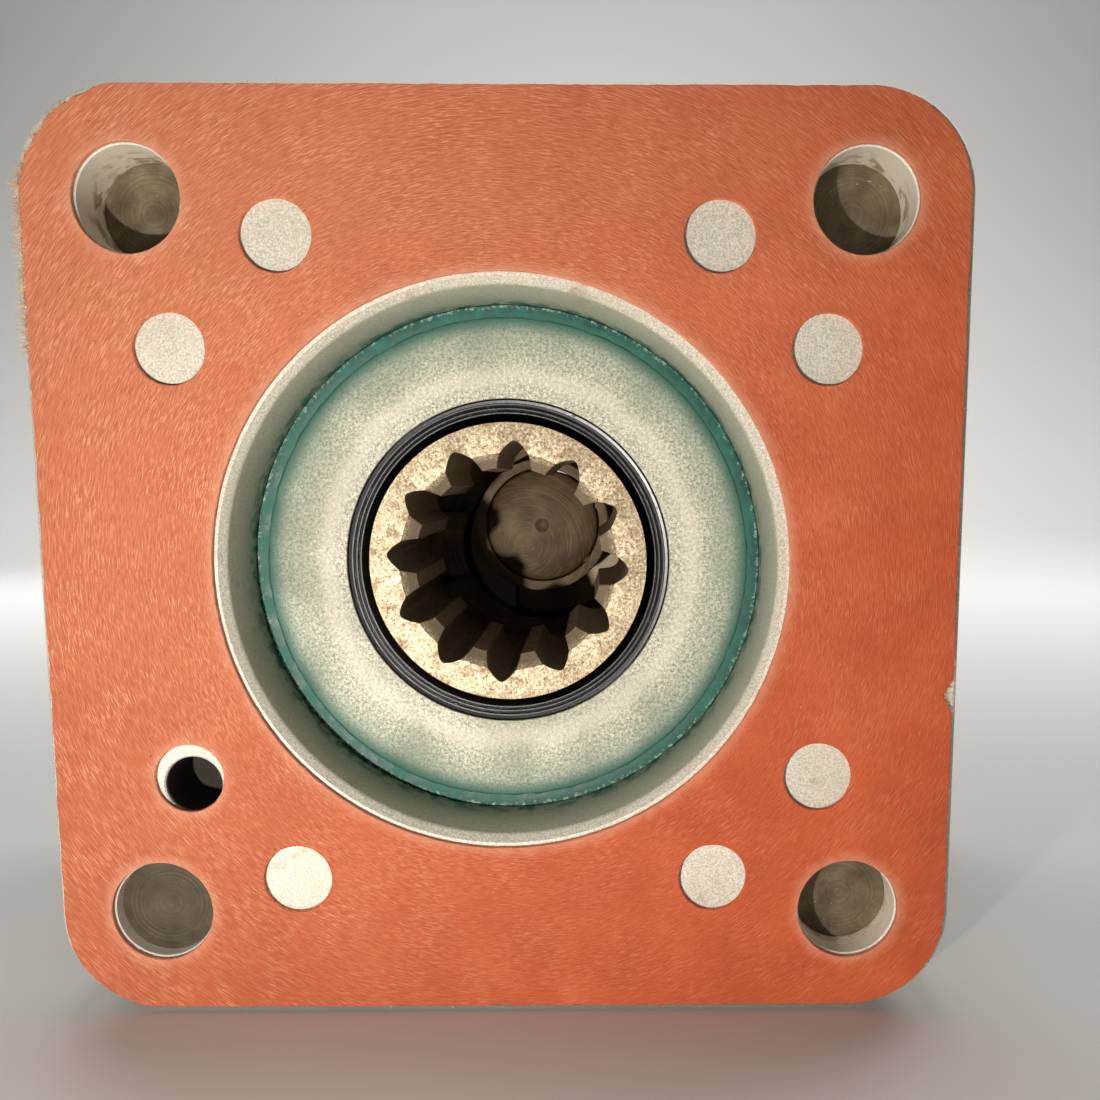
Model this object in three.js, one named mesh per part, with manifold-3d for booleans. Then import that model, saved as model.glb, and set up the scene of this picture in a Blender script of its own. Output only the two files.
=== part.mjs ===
// A flange-mounted Oldham coupling.
//
// X is to the right and Z is up. The coupling's axis runs along Y, from the gasketed driving end,
// which faces -Y, to the driven end, which faces +Y. The part stands on the lower edges of its two
// square flanges. Every piece is made about the axis first, with its depth measured from the
// gasket's outer face, and the whole assembly is then raised onto its base.
//
// All proportions follow the driving hub's diameter at the seal. The dimensions below are the ones
// that go with a diameter of 47.6, and SCALE turns them into millimetres for SEAL_DIAMETER.
import * as THREE from "three";
import { mergeVertices } from "three/addons/utils/BufferGeometryUtils.js";
import Module from "manifold-3d";

const wasm = await Module();
wasm.setup();

// ---- Driving dimensions -------------------------------------------------------------------

const SEAL_DIAMETER = 22.225; // millimetres: 7/8 inch, the driving hub where the seal runs on it

const LENGTH = 113; // gasket face to rear flange face
const GAP = 0.3; // between neighbouring pieces
const FACE_GAP = 0.1; // between flat faces clamped together

// Square flanges and the barrel between them.
const FLANGE_SIDE = 149;
const CORNER_RADIUS = 16;
const BOLT_SPACING = 114.5;
const BOLT_HOLE_RADIUS = 8.15;
const FRONT_FLANGE = { front: 1.1, back: 19.1 };
const REAR_FLANGE = { front: 93, back: LENGTH };
const BARREL_RADIUS = 58;
const JOINT = { front: 68, back: 69 }; // the housings' meeting faces
const RIB = { width: 8, reach: 70, length: 7 };

// Gasket on the front flange.
const GASKET = { width: 147, height: 148, thickness: 1, boreRadius: 46.45 };
const GASKET_HOLE_RADIUS = 5.6;
const GASKET_HOLE_NEAR = 34.5; // the small holes' two distances from the centre lines
const GASKET_HOLE_FAR = 51.7;
const LOCATING_HOLE = { x: -51.4, z: -35.8, radius: 4.7, depth: 15 };

// Front housing's bore, from the mouth inwards.
const SEAL_BORE_RADIUS = 43.3;
const MOUTH = { radius: 44.6, chamfer: 1.3, taperBack: 9 };
const SHOULDER = { radius: 37.5, front: 23.2, back: 26.4 };
const BEARING_BORE_RADIUS = 40.3;
const RING_GROOVE = { radius: 42.6, front: 63.4, back: 65.8 };
const HOUSING_RING = { inner: 37.6, outer: 42.2, front: 63.7, back: 65.5 };

// Rear housing's bore, and the gasket between the housings.
const CHAMBER = { radius: 44, back: 103 };
const REAR_OPENING = { radius: 29.5, back: 107 };
const REAR_RECESS_RADIUS = 38;
const BODY_GASKET = { inner: 45, outer: 57.5 };

// Shaft seal.
const SEAL = { front: 13.8, back: 22.8, outer: 42.95, faceInner: 27.8, lip: 24.15 };
const GARTER = { radius: 28.3, wireRadius: 0.8, depth: 19.9 };

// Two deep-groove ball bearings.
const BEARING = { width: 16, inner: 25.2, innerLand: 29.6, outerLand: 35.4, outer: 40 };
const BALLS = { count: 8, radius: 4.2, pitchRadius: 32.5, grooveRadius: 4.8 };
const BEARING_FRONTS = { front: 26.6, rear: 47.2 };
const CAGE = { inner: 31.2, outer: 33.8, width: 11.4, windowRadius: 4.8 };
const SPACER = { front: 42.9, back: 46.9, outerInside: 37.5, innerOutside: 28 };

// Driving hub, with its internal spline.
const HUB = { front: 12.7, back: 78.5, sealRadius: 23.8, journalRadius: 24.85, jawRadius: 38 };
const SCALE = SEAL_DIAMETER / (2 * HUB.sealRadius);
const SEAL_TRACK_BACK = 23.9;
const JAW_FRONT = 66.5;
const ABUTMENT = { radius: 29, front: 63.5 };
const HUB_GROOVE = { radius: 23.35, front: 24.3, back: 26.3 };
const HUB_RING = { inner: 23.65, outer: 28, front: 24.5, back: 26.1 };
const SPLINE = { teeth: 12, crest: 16.2, root: 20.75, phase: THREE.MathUtils.degToRad(-3.8), back: 52 };
const SPLINE_CHAMFER = 2.4;
const HUB_RELIEF_RADIUS = 21.6;

// Floating disc, driven hub and driven shaft. The shaft lies off the driving axis: the disc takes up
// the offset to the side, and the driven hub the offset upwards.
const OFFSET = { x: 3.4, z: 4.2 };
const TONGUE = { width: 14, height: 7.8 };
const SLOT = { width: 14.4, depth: 8 };
const DISC = { front: 79, back: 87, radius: 36, boreRadius: 17.6 };
const DRIVEN_HUB = { front: 87.5, plateBack: 101, back: 106.3, radius: 36, bossRadius: 22 };
const SHAFT = { front: 67, back: 107, radius: 12, centreRadius: 4 };
const COLLAR = { front: 69.8, back: 72.8, radius: 14.5 };
const SET_SCREW = { radius: 2.1, holeRadius: 2.5 };
const KEY = { front: 96.3, back: 105.7, width: 5.7, bottom: 9, top: 14.5 };

// Tie bolts, each with the depth of its turned tip below the gasket's face.
const TIE_BOLTS = [
  { name: "top_left", x: -1, z: 1, tip: 12 },
  { name: "top_right", x: 1, z: 1, tip: 11.5 },
  { name: "bottom_left", x: -1, z: -1, tip: 4 },
  { name: "bottom_right", x: 1, z: -1, tip: 8 },
];
const BOLT = { radius: 7.85, headRadius: 12, headHeight: 9.5, socketRadius: 5.8, socketDepth: 6 };
const WASHER = { inner: 8.3, outer: 12.5, thickness: 1.5 };
const COUNTERBORE = { radius: 13, front: 99.5 };

// Grease plug on top of the rear housing.
const PLUG = {
  depth: 79.5,
  bottom: 47,
  top: 66.7,
  holeRadius: 5,
  threadRadius: 4.7,
  hexRadius: 8,
  seat: 60,
  bossRadius: 9.5,
};
const PLUG_WASHER = { bottom: 60.3, top: 61.7, inner: 5.2, outer: 8.6 };

const DOWEL = { x: 51, radius: 3, front: 60, back: 77 };

// Sides of a turned surface, from the barrels and bores down to bolts and small holes.
const SIDES_LARGE = 48;
const SIDES = 32;
const SIDES_RINGS = 24;
const SIDES_SMALL = 16;

const FINISHES = {
  castAluminium: { color: 0xb7b2a7, roughness: 0.55, metalness: 0.85 },
  gasketFibre: { color: 0xd0602f, roughness: 0.9, metalness: 0 },
  platedSteel: { color: 0xb9b9a2, roughness: 0.4, metalness: 0.9 },
  sealant: { color: 0x146c5a, roughness: 0.45, metalness: 0 },
  blackRubber: { color: 0x26262a, roughness: 0.7, metalness: 0 },
  springSteel: { color: 0x6e6c68, roughness: 0.35, metalness: 1 },
  bearingSteel: { color: 0xc6c7c8, roughness: 0.2, metalness: 1 },
  brass: { color: 0xb08a45, roughness: 0.4, metalness: 1 },
  tanSteel: { color: 0xb9a57a, roughness: 0.45, metalness: 0.9 },
  brownSteel: { color: 0x6e5a3c, roughness: 0.6, metalness: 0.8 },
  blackSteel: { color: 0x3a3835, roughness: 0.45, metalness: 0.9 },
  copper: { color: 0xb06a45, roughness: 0.4, metalness: 1 },
};

// ---- Shapes -------------------------------------------------------------------------------

// A closed solid of a geometry, with its shared vertices merged.
function solid(geometry) {
  const bare = geometry.clone();
  bare.deleteAttribute("normal");
  bare.deleteAttribute("uv");
  const merged = mergeVertices(bare, 1e-4);
  const corners = merged.index.array;
  const kept = [];
  for (let i = 0; i < corners.length; i += 3) {
    const [a, b, c] = corners.slice(i, i + 3);
    if (a !== b && b !== c && c !== a) kept.push(a, b, c);
  }
  const vertProperties = merged.attributes.position.array;
  return new wasm.Manifold(
    new wasm.Mesh({ numProp: 3, vertProperties, triVerts: new Uint32Array(kept) }),
  );
}

// A turned solid about the axis, from its outline as [radius, depth] pairs.
function turned(outline, sides = SIDES) {
  const points = outline.map(([radius, depth]) => new THREE.Vector2(radius, depth));
  if (THREE.ShapeUtils.isClockWise(points)) points.reverse();
  points.push(points[0].clone());
  return solid(new THREE.LatheGeometry(points, sides));
}

// A plain ring, or a solid disc where the inner radius is 0.
function ring(inner, outer, front, back, sides = SIDES) {
  return turned([[inner, front], [outer, front], [outer, back], [inner, back]], sides);
}

// Points along an arc, in the plane across the axis.
function arc(x, z, radius, from, to, steps) {
  return Array.from({ length: steps + 1 }, (_, i) => {
    const angle = from + ((to - from) * i) / steps;
    return new THREE.Vector2(x + radius * Math.cos(angle), z + radius * Math.sin(angle));
  });
}

// A solid with a constant outline along the axis.
function prism(points, front, back) {
  const geometry = new THREE.ExtrudeGeometry(new THREE.Shape(points), {
    depth: back - front,
    bevelEnabled: false,
  });
  return solid(geometry.rotateX(Math.PI / 2).translate(0, back, 0));
}

// A round rod or hole along the axis's direction, at a place across it.
function rod(x, z, radius, front, back, sides = SIDES_SMALL) {
  return prism(arc(x, z, radius, 0, 2 * Math.PI, sides).slice(0, sides), front, back);
}

// A round or many-sided rod standing upright.
function upright(depth, radius, bottom, top, sides = SIDES_SMALL) {
  const geometry = new THREE.CylinderGeometry(radius, radius, top - bottom, sides);
  return solid(geometry.rotateX(Math.PI / 2).translate(0, depth, (bottom + top) / 2));
}

function box(lowX, highX, front, back, lowZ, highZ) {
  const geometry = new THREE.BoxGeometry(highX - lowX, back - front, highZ - lowZ);
  return solid(geometry.translate((lowX + highX) / 2, (front + back) / 2, (lowZ + highZ) / 2));
}

// A plate with round corners.
function roundedPlate(width, height, front, back) {
  const reachX = width / 2 - CORNER_RADIUS;
  const reachZ = height / 2 - CORNER_RADIUS;
  const corners = [[1, 1], [-1, 1], [-1, -1], [1, -1]];
  const points = corners.flatMap(([x, z], i) => {
    const start = (i * Math.PI) / 2;
    return arc(x * reachX, z * reachZ, CORNER_RADIUS, start, start + Math.PI / 2, 6);
  });
  return prism(points, front, back);
}

function joined(solids) {
  return solids.reduce((whole, piece) => whole.add(piece));
}

function cut(blank, cutters) {
  return cutters.reduce((whole, cutter) => whole.subtract(cutter), blank);
}

const assembly = new THREE.Group();
assembly.position.set(0, (-LENGTH / 2) * SCALE, (FLANGE_SIDE / 2) * SCALE);

// Adds a solid to the assembly, in millimetres, as a named mesh with a material of its own.
function addPart(name, shape, finish) {
  const { vertProperties, triVerts } = shape.scale([SCALE, SCALE, SCALE]).getMesh();
  const geometry = new THREE.BufferGeometry();
  geometry.setAttribute("position", new THREE.BufferAttribute(vertProperties, 3));
  geometry.setIndex(new THREE.BufferAttribute(triVerts, 1));
  geometry.computeVertexNormals();
  const mesh = new THREE.Mesh(geometry, new THREE.MeshStandardMaterial(FINISHES[finish]));
  mesh.name = name;
  assembly.add(mesh);
}

// ---- Housings -----------------------------------------------------------------------------

function boltHoles(front, back, radius) {
  const reach = BOLT_SPACING / 2;
  return TIE_BOLTS.map(({ x, z }) => rod(x * reach, z * reach, radius, front, back));
}

function dowelHoles() {
  const { x, radius, front, back } = DOWEL;
  return [-x, x].map((side) => rod(side, 0, radius + GAP, front - GAP, back + GAP));
}

// Four gussets between a flange and the barrel, which taper away from the flange.
function ribs(flangeFace, tip) {
  const root = BARREL_RADIUS - 2;
  const outline = [[root, flangeFace], [RIB.reach, flangeFace], [root, tip]];
  const points = outline.map(([radius, depth]) => new THREE.Vector2(radius, depth));
  if (THREE.ShapeUtils.isClockWise(points)) points.reverse();
  return [0, 1, 2, 3].map((quarter) => {
    const geometry = new THREE.ExtrudeGeometry(new THREE.Shape(points), {
      depth: RIB.width,
      bevelEnabled: false,
    });
    geometry.translate(0, 0, -RIB.width / 2);
    return solid(geometry.rotateY((quarter * Math.PI) / 2));
  });
}

function frontHousing() {
  const { front, back } = FRONT_FLANGE;
  const blank = joined([
    roundedPlate(FLANGE_SIDE, FLANGE_SIDE, front, back),
    ring(0, BARREL_RADIUS, front + 4, JOINT.front, SIDES_LARGE),
    ...ribs(back - 1, back + RIB.length),
  ]);
  const mouth = front - MOUTH.chamfer;
  const bore = turned(
    [
      [0, mouth],
      [MOUTH.radius + 2 * MOUTH.chamfer, mouth],
      [MOUTH.radius, front + MOUTH.chamfer],
      [SEAL_BORE_RADIUS, MOUTH.taperBack],
      [SEAL_BORE_RADIUS, SHOULDER.front],
      [SHOULDER.radius, SHOULDER.front],
      [SHOULDER.radius, SHOULDER.back],
      [BEARING_BORE_RADIUS, SHOULDER.back],
      [BEARING_BORE_RADIUS, RING_GROOVE.front],
      [RING_GROOVE.radius, RING_GROOVE.front],
      [RING_GROOVE.radius, RING_GROOVE.back],
      [BEARING_BORE_RADIUS, RING_GROOVE.back],
      [BEARING_BORE_RADIUS, JOINT.front + 1],
      [0, JOINT.front + 1],
    ],
    SIDES_LARGE,
  );
  const { x, z, radius, depth } = LOCATING_HOLE;
  return cut(blank, [
    bore,
    rod(x, z, radius, front - 1, depth),
    ...boltHoles(front - 1, back + 1, BOLT_HOLE_RADIUS),
    ...dowelHoles(),
  ]);
}

function rearHousing() {
  const { front, back } = REAR_FLANGE;
  const blank = joined([
    roundedPlate(FLANGE_SIDE, FLANGE_SIDE, front, back),
    ring(0, BARREL_RADIUS, JOINT.back, front + 4, SIDES_LARGE),
    upright(PLUG.depth, PLUG.bossRadius, BARREL_RADIUS - 8, PLUG.seat),
    ...ribs(front + 1, front - RIB.length),
  ]);
  const bore = turned(
    [
      [0, JOINT.back - 1],
      [CHAMBER.radius, JOINT.back - 1],
      [CHAMBER.radius, CHAMBER.back],
      [REAR_OPENING.radius, CHAMBER.back],
      [REAR_OPENING.radius, REAR_OPENING.back],
      [REAR_RECESS_RADIUS, REAR_OPENING.back],
      [REAR_RECESS_RADIUS, back - 1],
      [REAR_RECESS_RADIUS + 2, back + 1],
      [0, back + 1],
    ],
    SIDES_LARGE,
  );
  return cut(blank, [
    bore,
    upright(PLUG.depth, PLUG.holeRadius, CHAMBER.radius - 4, PLUG.seat + 1),
    ...boltHoles(front - 1, back, BOLT_HOLE_RADIUS),
    ...boltHoles(COUNTERBORE.front, back + 1, COUNTERBORE.radius),
    ...dowelHoles(),
  ]);
}

function flangeGasket() {
  const { width, height, thickness, boreRadius } = GASKET;
  const pairs = [[GASKET_HOLE_NEAR, GASKET_HOLE_FAR], [GASKET_HOLE_FAR, GASKET_HOLE_NEAR]];
  const smallHoles = pairs.flatMap(([x, z]) =>
    TIE_BOLTS.map((corner) => rod(corner.x * x, corner.z * z, GASKET_HOLE_RADIUS, -1, 2)),
  );
  return cut(roundedPlate(width, height, 0, thickness), [
    ring(0, boreRadius, -1, 2, SIDES_LARGE),
    ...boltHoles(-1, 2, BOLT_HOLE_RADIUS + 0.2),
    ...smallHoles,
  ]);
}

addPart("front_housing", frontHousing(), "castAluminium");
addPart("rear_housing", rearHousing(), "castAluminium");
addPart("flange_gasket", flangeGasket(), "gasketFibre");
const { inner, outer } = BODY_GASKET;
const bodyGasket = ring(inner, outer, JOINT.front + FACE_GAP, JOINT.back - FACE_GAP);
addPart("body_gasket", cut(bodyGasket, dowelHoles()), "gasketFibre");

// ---- Shaft seal ---------------------------------------------------------------------------

// A pressed case with a sloped rim, which carries the ring of sealant.
const sealCase = [
  [SEAL.faceInner, SEAL.front],
  [41.2, SEAL.front],
  [SEAL.outer, 15.6],
  [SEAL.outer, SEAL.back],
  [41.6, SEAL.back],
  [41.6, 16.2],
  [40.6, 15.1],
  [SEAL.faceInner, 15.1],
];
const sealInnerCase = [
  [30, 15.4],
  [39.9, 15.4],
  [41.3, 16.6],
  [41.3, 22],
  [40.2, 22],
  [40.2, 17],
  [39.4, 16.4],
  [30, 16.4],
];
const sealSealantBand = [
  [41.7, SEAL.front],
  [42.4, SEAL.front - 0.25],
  [43.1, SEAL.front - 0.1],
  [43.1, 15.2],
];
// The rubber, from the dust lip at the face to the sealing lip, which leans on the hub.
const sealLip = [
  [25.2, SEAL.front + 0.1],
  [27.5, SEAL.front + 0.1],
  [27.5, 16.7],
  [29.7, 16.7],
  [29.7, 17.7],
  [27.6, 18.2],
  [26.9, 20.9],
  [25, 21.6],
  [SEAL.lip, 19.6],
  [25, 17.8],
  [25.7, 16],
];

addPart("seal_case", turned(sealCase, SIDES_LARGE), "platedSteel");
addPart("seal_inner_case", turned(sealInnerCase, SIDES_RINGS), "platedSteel");
addPart("seal_sealant_band", turned(sealSealantBand, SIDES_LARGE), "sealant");
addPart("seal_lip", turned(sealLip), "blackRubber");
const garterSpring = new THREE.TorusGeometry(GARTER.radius, GARTER.wireRadius, 5, SIDES_RINGS);
garterSpring.rotateX(Math.PI / 2).translate(0, GARTER.depth, 0);
addPart("garter_spring", solid(garterSpring), "springSteel");

// ---- Bearings -----------------------------------------------------------------------------

// A race: a ring whose land has a groove of the ball's shape, on the side that faces the balls.
function race(backRadius, landRadius, front) {
  const middle = front + BEARING.width / 2;
  const toLand = landRadius - BALLS.pitchRadius;
  const halfAngle = Math.acos(Math.abs(toLand) / BALLS.grooveRadius);
  const groove = [-1, -0.5, 0, 0.5, 1].map((share) => [
    BALLS.pitchRadius + Math.sign(toLand) * BALLS.grooveRadius * Math.cos(share * halfAngle),
    middle + BALLS.grooveRadius * Math.sin(share * halfAngle),
  ]);
  const back = front + BEARING.width;
  return turned(
    [[backRadius, front], [landRadius, front], ...groove, [landRadius, back], [backRadius, back]],
    SIDES_RINGS,
  );
}

function ballAngle(index) {
  return (index * 2 * Math.PI) / BALLS.count;
}

// A ring with a round window for each ball.
function cage(front) {
  const middle = front + BEARING.width / 2;
  const windows = Array.from({ length: BALLS.count }, (_, i) => {
    const drill = new THREE.CylinderGeometry(CAGE.windowRadius, CAGE.windowRadius, 8, 8);
    drill.rotateZ(Math.PI / 2).translate(BALLS.pitchRadius, middle, 0).rotateY(ballAngle(i));
    return solid(drill);
  });
  const half = CAGE.width / 2;
  return cut(ring(CAGE.inner, CAGE.outer, middle - half, middle + half, SIDES_RINGS), windows);
}

for (const [place, front] of Object.entries(BEARING_FRONTS)) {
  const name = `${place}_bearing`;
  addPart(`${name}_outer_race`, race(BEARING.outer, BEARING.outerLand, front), "bearingSteel");
  addPart(`${name}_inner_race`, race(BEARING.inner, BEARING.innerLand, front), "bearingSteel");
  addPart(`${name}_cage`, cage(front), "brass");
  for (let i = 0; i < BALLS.count; i++) {
    const ball = new THREE.IcosahedronGeometry(BALLS.radius, 1);
    ball.translate(BALLS.pitchRadius, front + BEARING.width / 2, 0).rotateY(ballAngle(i));
    addPart(`${name}_ball_${i + 1}`, solid(ball), "bearingSteel");
  }
}

function spacer(inside, outside) {
  return ring(inside, outside, SPACER.front, SPACER.back, SIDES_RINGS);
}

addPart("outer_spacer", spacer(SPACER.outerInside, BEARING.outer - 0.1), "blackSteel");
addPart("inner_spacer", spacer(BEARING.inner, SPACER.innerOutside), "blackSteel");

// A spring ring with a gap at the top.
function retainingRing({ inner: inside, outer: outside, front, back }) {
  const gap = box(-4, 4, front - 1, back + 1, 0, outside + 1);
  return ring(inside, outside, front, back, SIDES_RINGS).subtract(gap);
}

addPart("housing_retaining_ring", retainingRing(HOUSING_RING), "springSteel");
addPart("hub_retaining_ring", retainingRing(HUB_RING), "springSteel");

// ---- Driving hub --------------------------------------------------------------------------

// The outline of the splined bore: narrow flat crests, and spaces that narrow to a blunt root.
function splineOutline() {
  const pitch = (2 * Math.PI) / SPLINE.teeth;
  const flank = [
    [SPLINE.crest, 0.35],
    [SPLINE.root - 2.1, 0.255],
    [SPLINE.root - 0.85, 0.14],
    [SPLINE.root, 0.035],
  ];
  const otherFlank = flank.map(([radius, share]) => [radius, -share]);
  const space = [...otherFlank, ...flank.reverse()];
  return Array.from({ length: SPLINE.teeth }, (_, tooth) =>
    space.map(([radius, share]) => {
      const angle = SPLINE.phase + (tooth + share) * pitch;
      return new THREE.Vector2(radius * Math.cos(angle), radius * Math.sin(angle));
    }),
  ).flat();
}

function inputHub() {
  const { front, back, sealRadius, journalRadius, jawRadius } = HUB;
  const blank = turned([
    [0, front],
    [sealRadius - 0.6, front],
    [sealRadius, front + 0.6],
    [sealRadius, SEAL_TRACK_BACK],
    [journalRadius, SEAL_TRACK_BACK],
    [journalRadius, HUB_GROOVE.front],
    [HUB_GROOVE.radius, HUB_GROOVE.front],
    [HUB_GROOVE.radius, HUB_GROOVE.back],
    [journalRadius, HUB_GROOVE.back],
    [journalRadius, ABUTMENT.front],
    [ABUTMENT.radius, ABUTMENT.front],
    [ABUTMENT.radius, JAW_FRONT],
    [jawRadius, JAW_FRONT],
    [jawRadius, back],
    [0, back],
  ]);
  const leadIn = turned([
    [0, front - 1],
    [SPLINE.crest + SPLINE_CHAMFER + 1, front - 1],
    [SPLINE.crest - 1, front + SPLINE_CHAMFER + 1],
    [0, front + SPLINE_CHAMFER + 1],
  ]);
  return cut(blank, [
    prism(splineOutline(), front - 1, SPLINE.back + 1),
    leadIn,
    ring(0, HUB_RELIEF_RADIUS, SPLINE.back, back + 1),
    box(-jawRadius - 1, jawRadius + 1, back - SLOT.depth, back + 1, -SLOT.width / 2, SLOT.width / 2),
  ]);
}

addPart("input_hub", inputHub(), "tanSteel");

// ---- Floating disc and driven side --------------------------------------------------------

// A disc with a tongue across each face, the two at right angles, and a round hole.
function oldhamDisc() {
  const { front, back, radius, boreRadius } = DISC;
  const half = TONGUE.width / 2;
  const tongues = joined([
    box(-radius, radius, front - TONGUE.height, front + 1, -half, half),
    box(-half, half, back - 1, back + TONGUE.height, -radius, radius),
  ]).intersect(ring(0, radius, front - TONGUE.height - 1, back + TONGUE.height + 1));
  const hole = ring(0, boreRadius, front - TONGUE.height - 1, back + TONGUE.height + 1);
  return ring(0, radius, front, back).add(tongues).subtract(hole);
}

function drivenHub() {
  const { front, plateBack, back, radius, bossRadius } = DRIVEN_HUB;
  const blank = turned([
    [0, front],
    [radius, front],
    [radius, plateBack],
    [bossRadius, plateBack],
    [bossRadius, back - 1],
    [bossRadius - 1, back],
    [0, back],
  ]);
  const half = SLOT.width / 2;
  const keywayHalf = KEY.width / 2 + GAP;
  return cut(blank, [
    box(-half, half, front - 1, front + SLOT.depth, -radius - 1, radius + 1),
    ring(0, SHAFT.radius + GAP, front - 1, back + 1),
    box(0, KEY.top + GAP, front, back + 1, -keywayHalf, keywayHalf),
    upright((plateBack + back) / 2, SET_SCREW.holeRadius, SHAFT.radius - 2, bossRadius + 1, 12),
  ]);
}

function drivenShaft() {
  const { front, back, radius, centreRadius } = SHAFT;
  const blank = turned([
    [0, front + 1.4],
    [1.4, front],
    [radius - 2.6, front + 0.3],
    [radius - 0.8, front + 1.2],
    [radius, front + 2.4],
    [radius, back - 1],
    [radius - 1, back],
    [centreRadius, back],
    [centreRadius, back - 16],
    [0, back - 18],
  ]);
  const half = KEY.width / 2 + GAP;
  return blank.subtract(
    box(KEY.bottom - GAP, radius + 1, KEY.front - GAP, KEY.back + GAP, -half, half),
  );
}

// Adds a piece of the driven side, made about its own axis, at the driven shaft's offset.
function addDriven(name, shape, finish) {
  addPart(name, shape.translate([OFFSET.x, 0, OFFSET.z]), finish);
}

addPart("oldham_disc", oldhamDisc().translate([OFFSET.x, 0, 0]), "brownSteel");
addDriven("driven_hub", drivenHub(), "tanSteel");
addDriven("driven_shaft", drivenShaft(), "brownSteel");
const collarBore = SHAFT.radius + GAP;
const collar = ring(collarBore, COLLAR.radius, COLLAR.front, COLLAR.back, SIDES_RINGS);
addDriven("shaft_collar", collar, "brownSteel");
const keyHalf = KEY.width / 2;
const key = box(KEY.bottom, KEY.top, KEY.front, KEY.back, -keyHalf, keyHalf);
addDriven("shaft_key", key, "blackSteel");
const screwDepth = (DRIVEN_HUB.plateBack + DRIVEN_HUB.back) / 2;
const screwTop = DRIVEN_HUB.bossRadius - 0.8;
const setScrew = upright(screwDepth, SET_SCREW.radius, collarBore, screwTop, 12);
addDriven("hub_set_screw", setScrew, "blackSteel");

// ---- Fasteners ----------------------------------------------------------------------------

// A low-head socket screw with a turned tip.
function tieBolt({ x, z, tip }) {
  const seat = COUNTERBORE.front + FACE_GAP + WASHER.thickness + FACE_GAP;
  const head = seat + BOLT.headHeight;
  const blank = turned(
    [
      [0, tip],
      [BOLT.radius - 0.6, tip],
      [BOLT.radius, tip + 0.6],
      [BOLT.radius, seat],
      [BOLT.headRadius, seat],
      [BOLT.headRadius, head - 1],
      [BOLT.headRadius - 1, head],
      [0, head],
    ],
    SIDES_SMALL,
  );
  const socket = rod(0, 0, BOLT.socketRadius, head - BOLT.socketDepth, head + 1, 6);
  const reach = BOLT_SPACING / 2;
  return blank.subtract(socket).translate([x * reach, 0, z * reach]);
}

function boltWasher({ x, z }) {
  const front = COUNTERBORE.front + FACE_GAP;
  const reach = BOLT_SPACING / 2;
  const washer = ring(WASHER.inner, WASHER.outer, front, front + WASHER.thickness, SIDES_SMALL);
  return washer.translate([x * reach, 0, z * reach]);
}

for (const bolt of TIE_BOLTS) {
  addPart(`tie_bolt_${bolt.name}`, tieBolt(bolt), "blackSteel");
  addPart(`bolt_washer_${bolt.name}`, boltWasher(bolt), "springSteel");
}
for (const [side, x] of [["left", -DOWEL.x], ["right", DOWEL.x]]) {
  addPart(`dowel_pin_${side}`, rod(x, 0, DOWEL.radius, DOWEL.front, DOWEL.back), "bearingSteel");
}

const greasePlug = joined([
  upright(PLUG.depth, PLUG.threadRadius, PLUG.bottom, PLUG_WASHER.top + 1),
  upright(PLUG.depth, PLUG.hexRadius, PLUG_WASHER.top + FACE_GAP, PLUG.top, 6),
]);
addPart("grease_plug", greasePlug, "brass");
const plugWasher = upright(PLUG.depth, PLUG_WASHER.outer, PLUG_WASHER.bottom, PLUG_WASHER.top);
const washerHole = upright(PLUG.depth, PLUG_WASHER.inner, PLUG.seat, PLUG_WASHER.top + 1);
addPart("plug_washer", plugWasher.subtract(washerHole), "copper");

export default assembly;
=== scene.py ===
"""A sealed, flange-mounted Oldham coupling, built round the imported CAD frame.

The coupling's axis runs along Y. A place is a distance to the right of the axis, a depth behind the
gasket's face and a height above the axis. Sizes are in the CAD's units, of which 76 make the width of
the driving hub's jaw flange, and place() turns them into metres.
"""
import math
import random

import bmesh
import bpy
from mathutils import Matrix, Vector, noise

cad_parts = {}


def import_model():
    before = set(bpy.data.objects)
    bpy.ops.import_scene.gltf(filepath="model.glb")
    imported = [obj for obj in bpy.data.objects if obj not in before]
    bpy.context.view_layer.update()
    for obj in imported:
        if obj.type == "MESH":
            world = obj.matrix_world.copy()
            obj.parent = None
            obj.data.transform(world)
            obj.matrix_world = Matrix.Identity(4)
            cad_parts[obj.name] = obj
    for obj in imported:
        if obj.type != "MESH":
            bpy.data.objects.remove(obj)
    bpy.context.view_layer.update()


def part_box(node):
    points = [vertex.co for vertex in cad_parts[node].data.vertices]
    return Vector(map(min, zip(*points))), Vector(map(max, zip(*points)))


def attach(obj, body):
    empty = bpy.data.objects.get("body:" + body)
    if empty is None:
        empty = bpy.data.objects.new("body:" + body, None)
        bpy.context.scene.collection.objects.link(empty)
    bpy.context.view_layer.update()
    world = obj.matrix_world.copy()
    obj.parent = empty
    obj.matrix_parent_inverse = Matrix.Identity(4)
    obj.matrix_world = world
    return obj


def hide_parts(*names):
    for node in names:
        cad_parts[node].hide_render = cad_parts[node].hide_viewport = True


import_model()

# ---- Places and sizes, some from the frame and the rest given ----

TURN = 2 * math.pi
JAW_RADIUS = 38


def span(node):
    """A node's lowest and highest corner as (right, depth, up), in units from the axis's start."""
    low, high = (Vector(corner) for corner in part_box(node))
    return (low - ORIGIN) / UNIT, (high - ORIGIN) / UNIT


hub_low, hub_high = (Vector(corner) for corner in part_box("input_hub"))
gasket_low = Vector(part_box("flange_gasket")[0])
ORIGIN = Vector(((hub_low.x + hub_high.x) / 2, gasket_low.y, (hub_low.z + hub_high.z) / 2))
UNIT = (hub_high.x - hub_low.x) / (2 * JAW_RADIUS)  # metres


def depths(node):
    """The depths of a node's front and back."""
    low, high = span(node)
    return low.y, high.y


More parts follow.
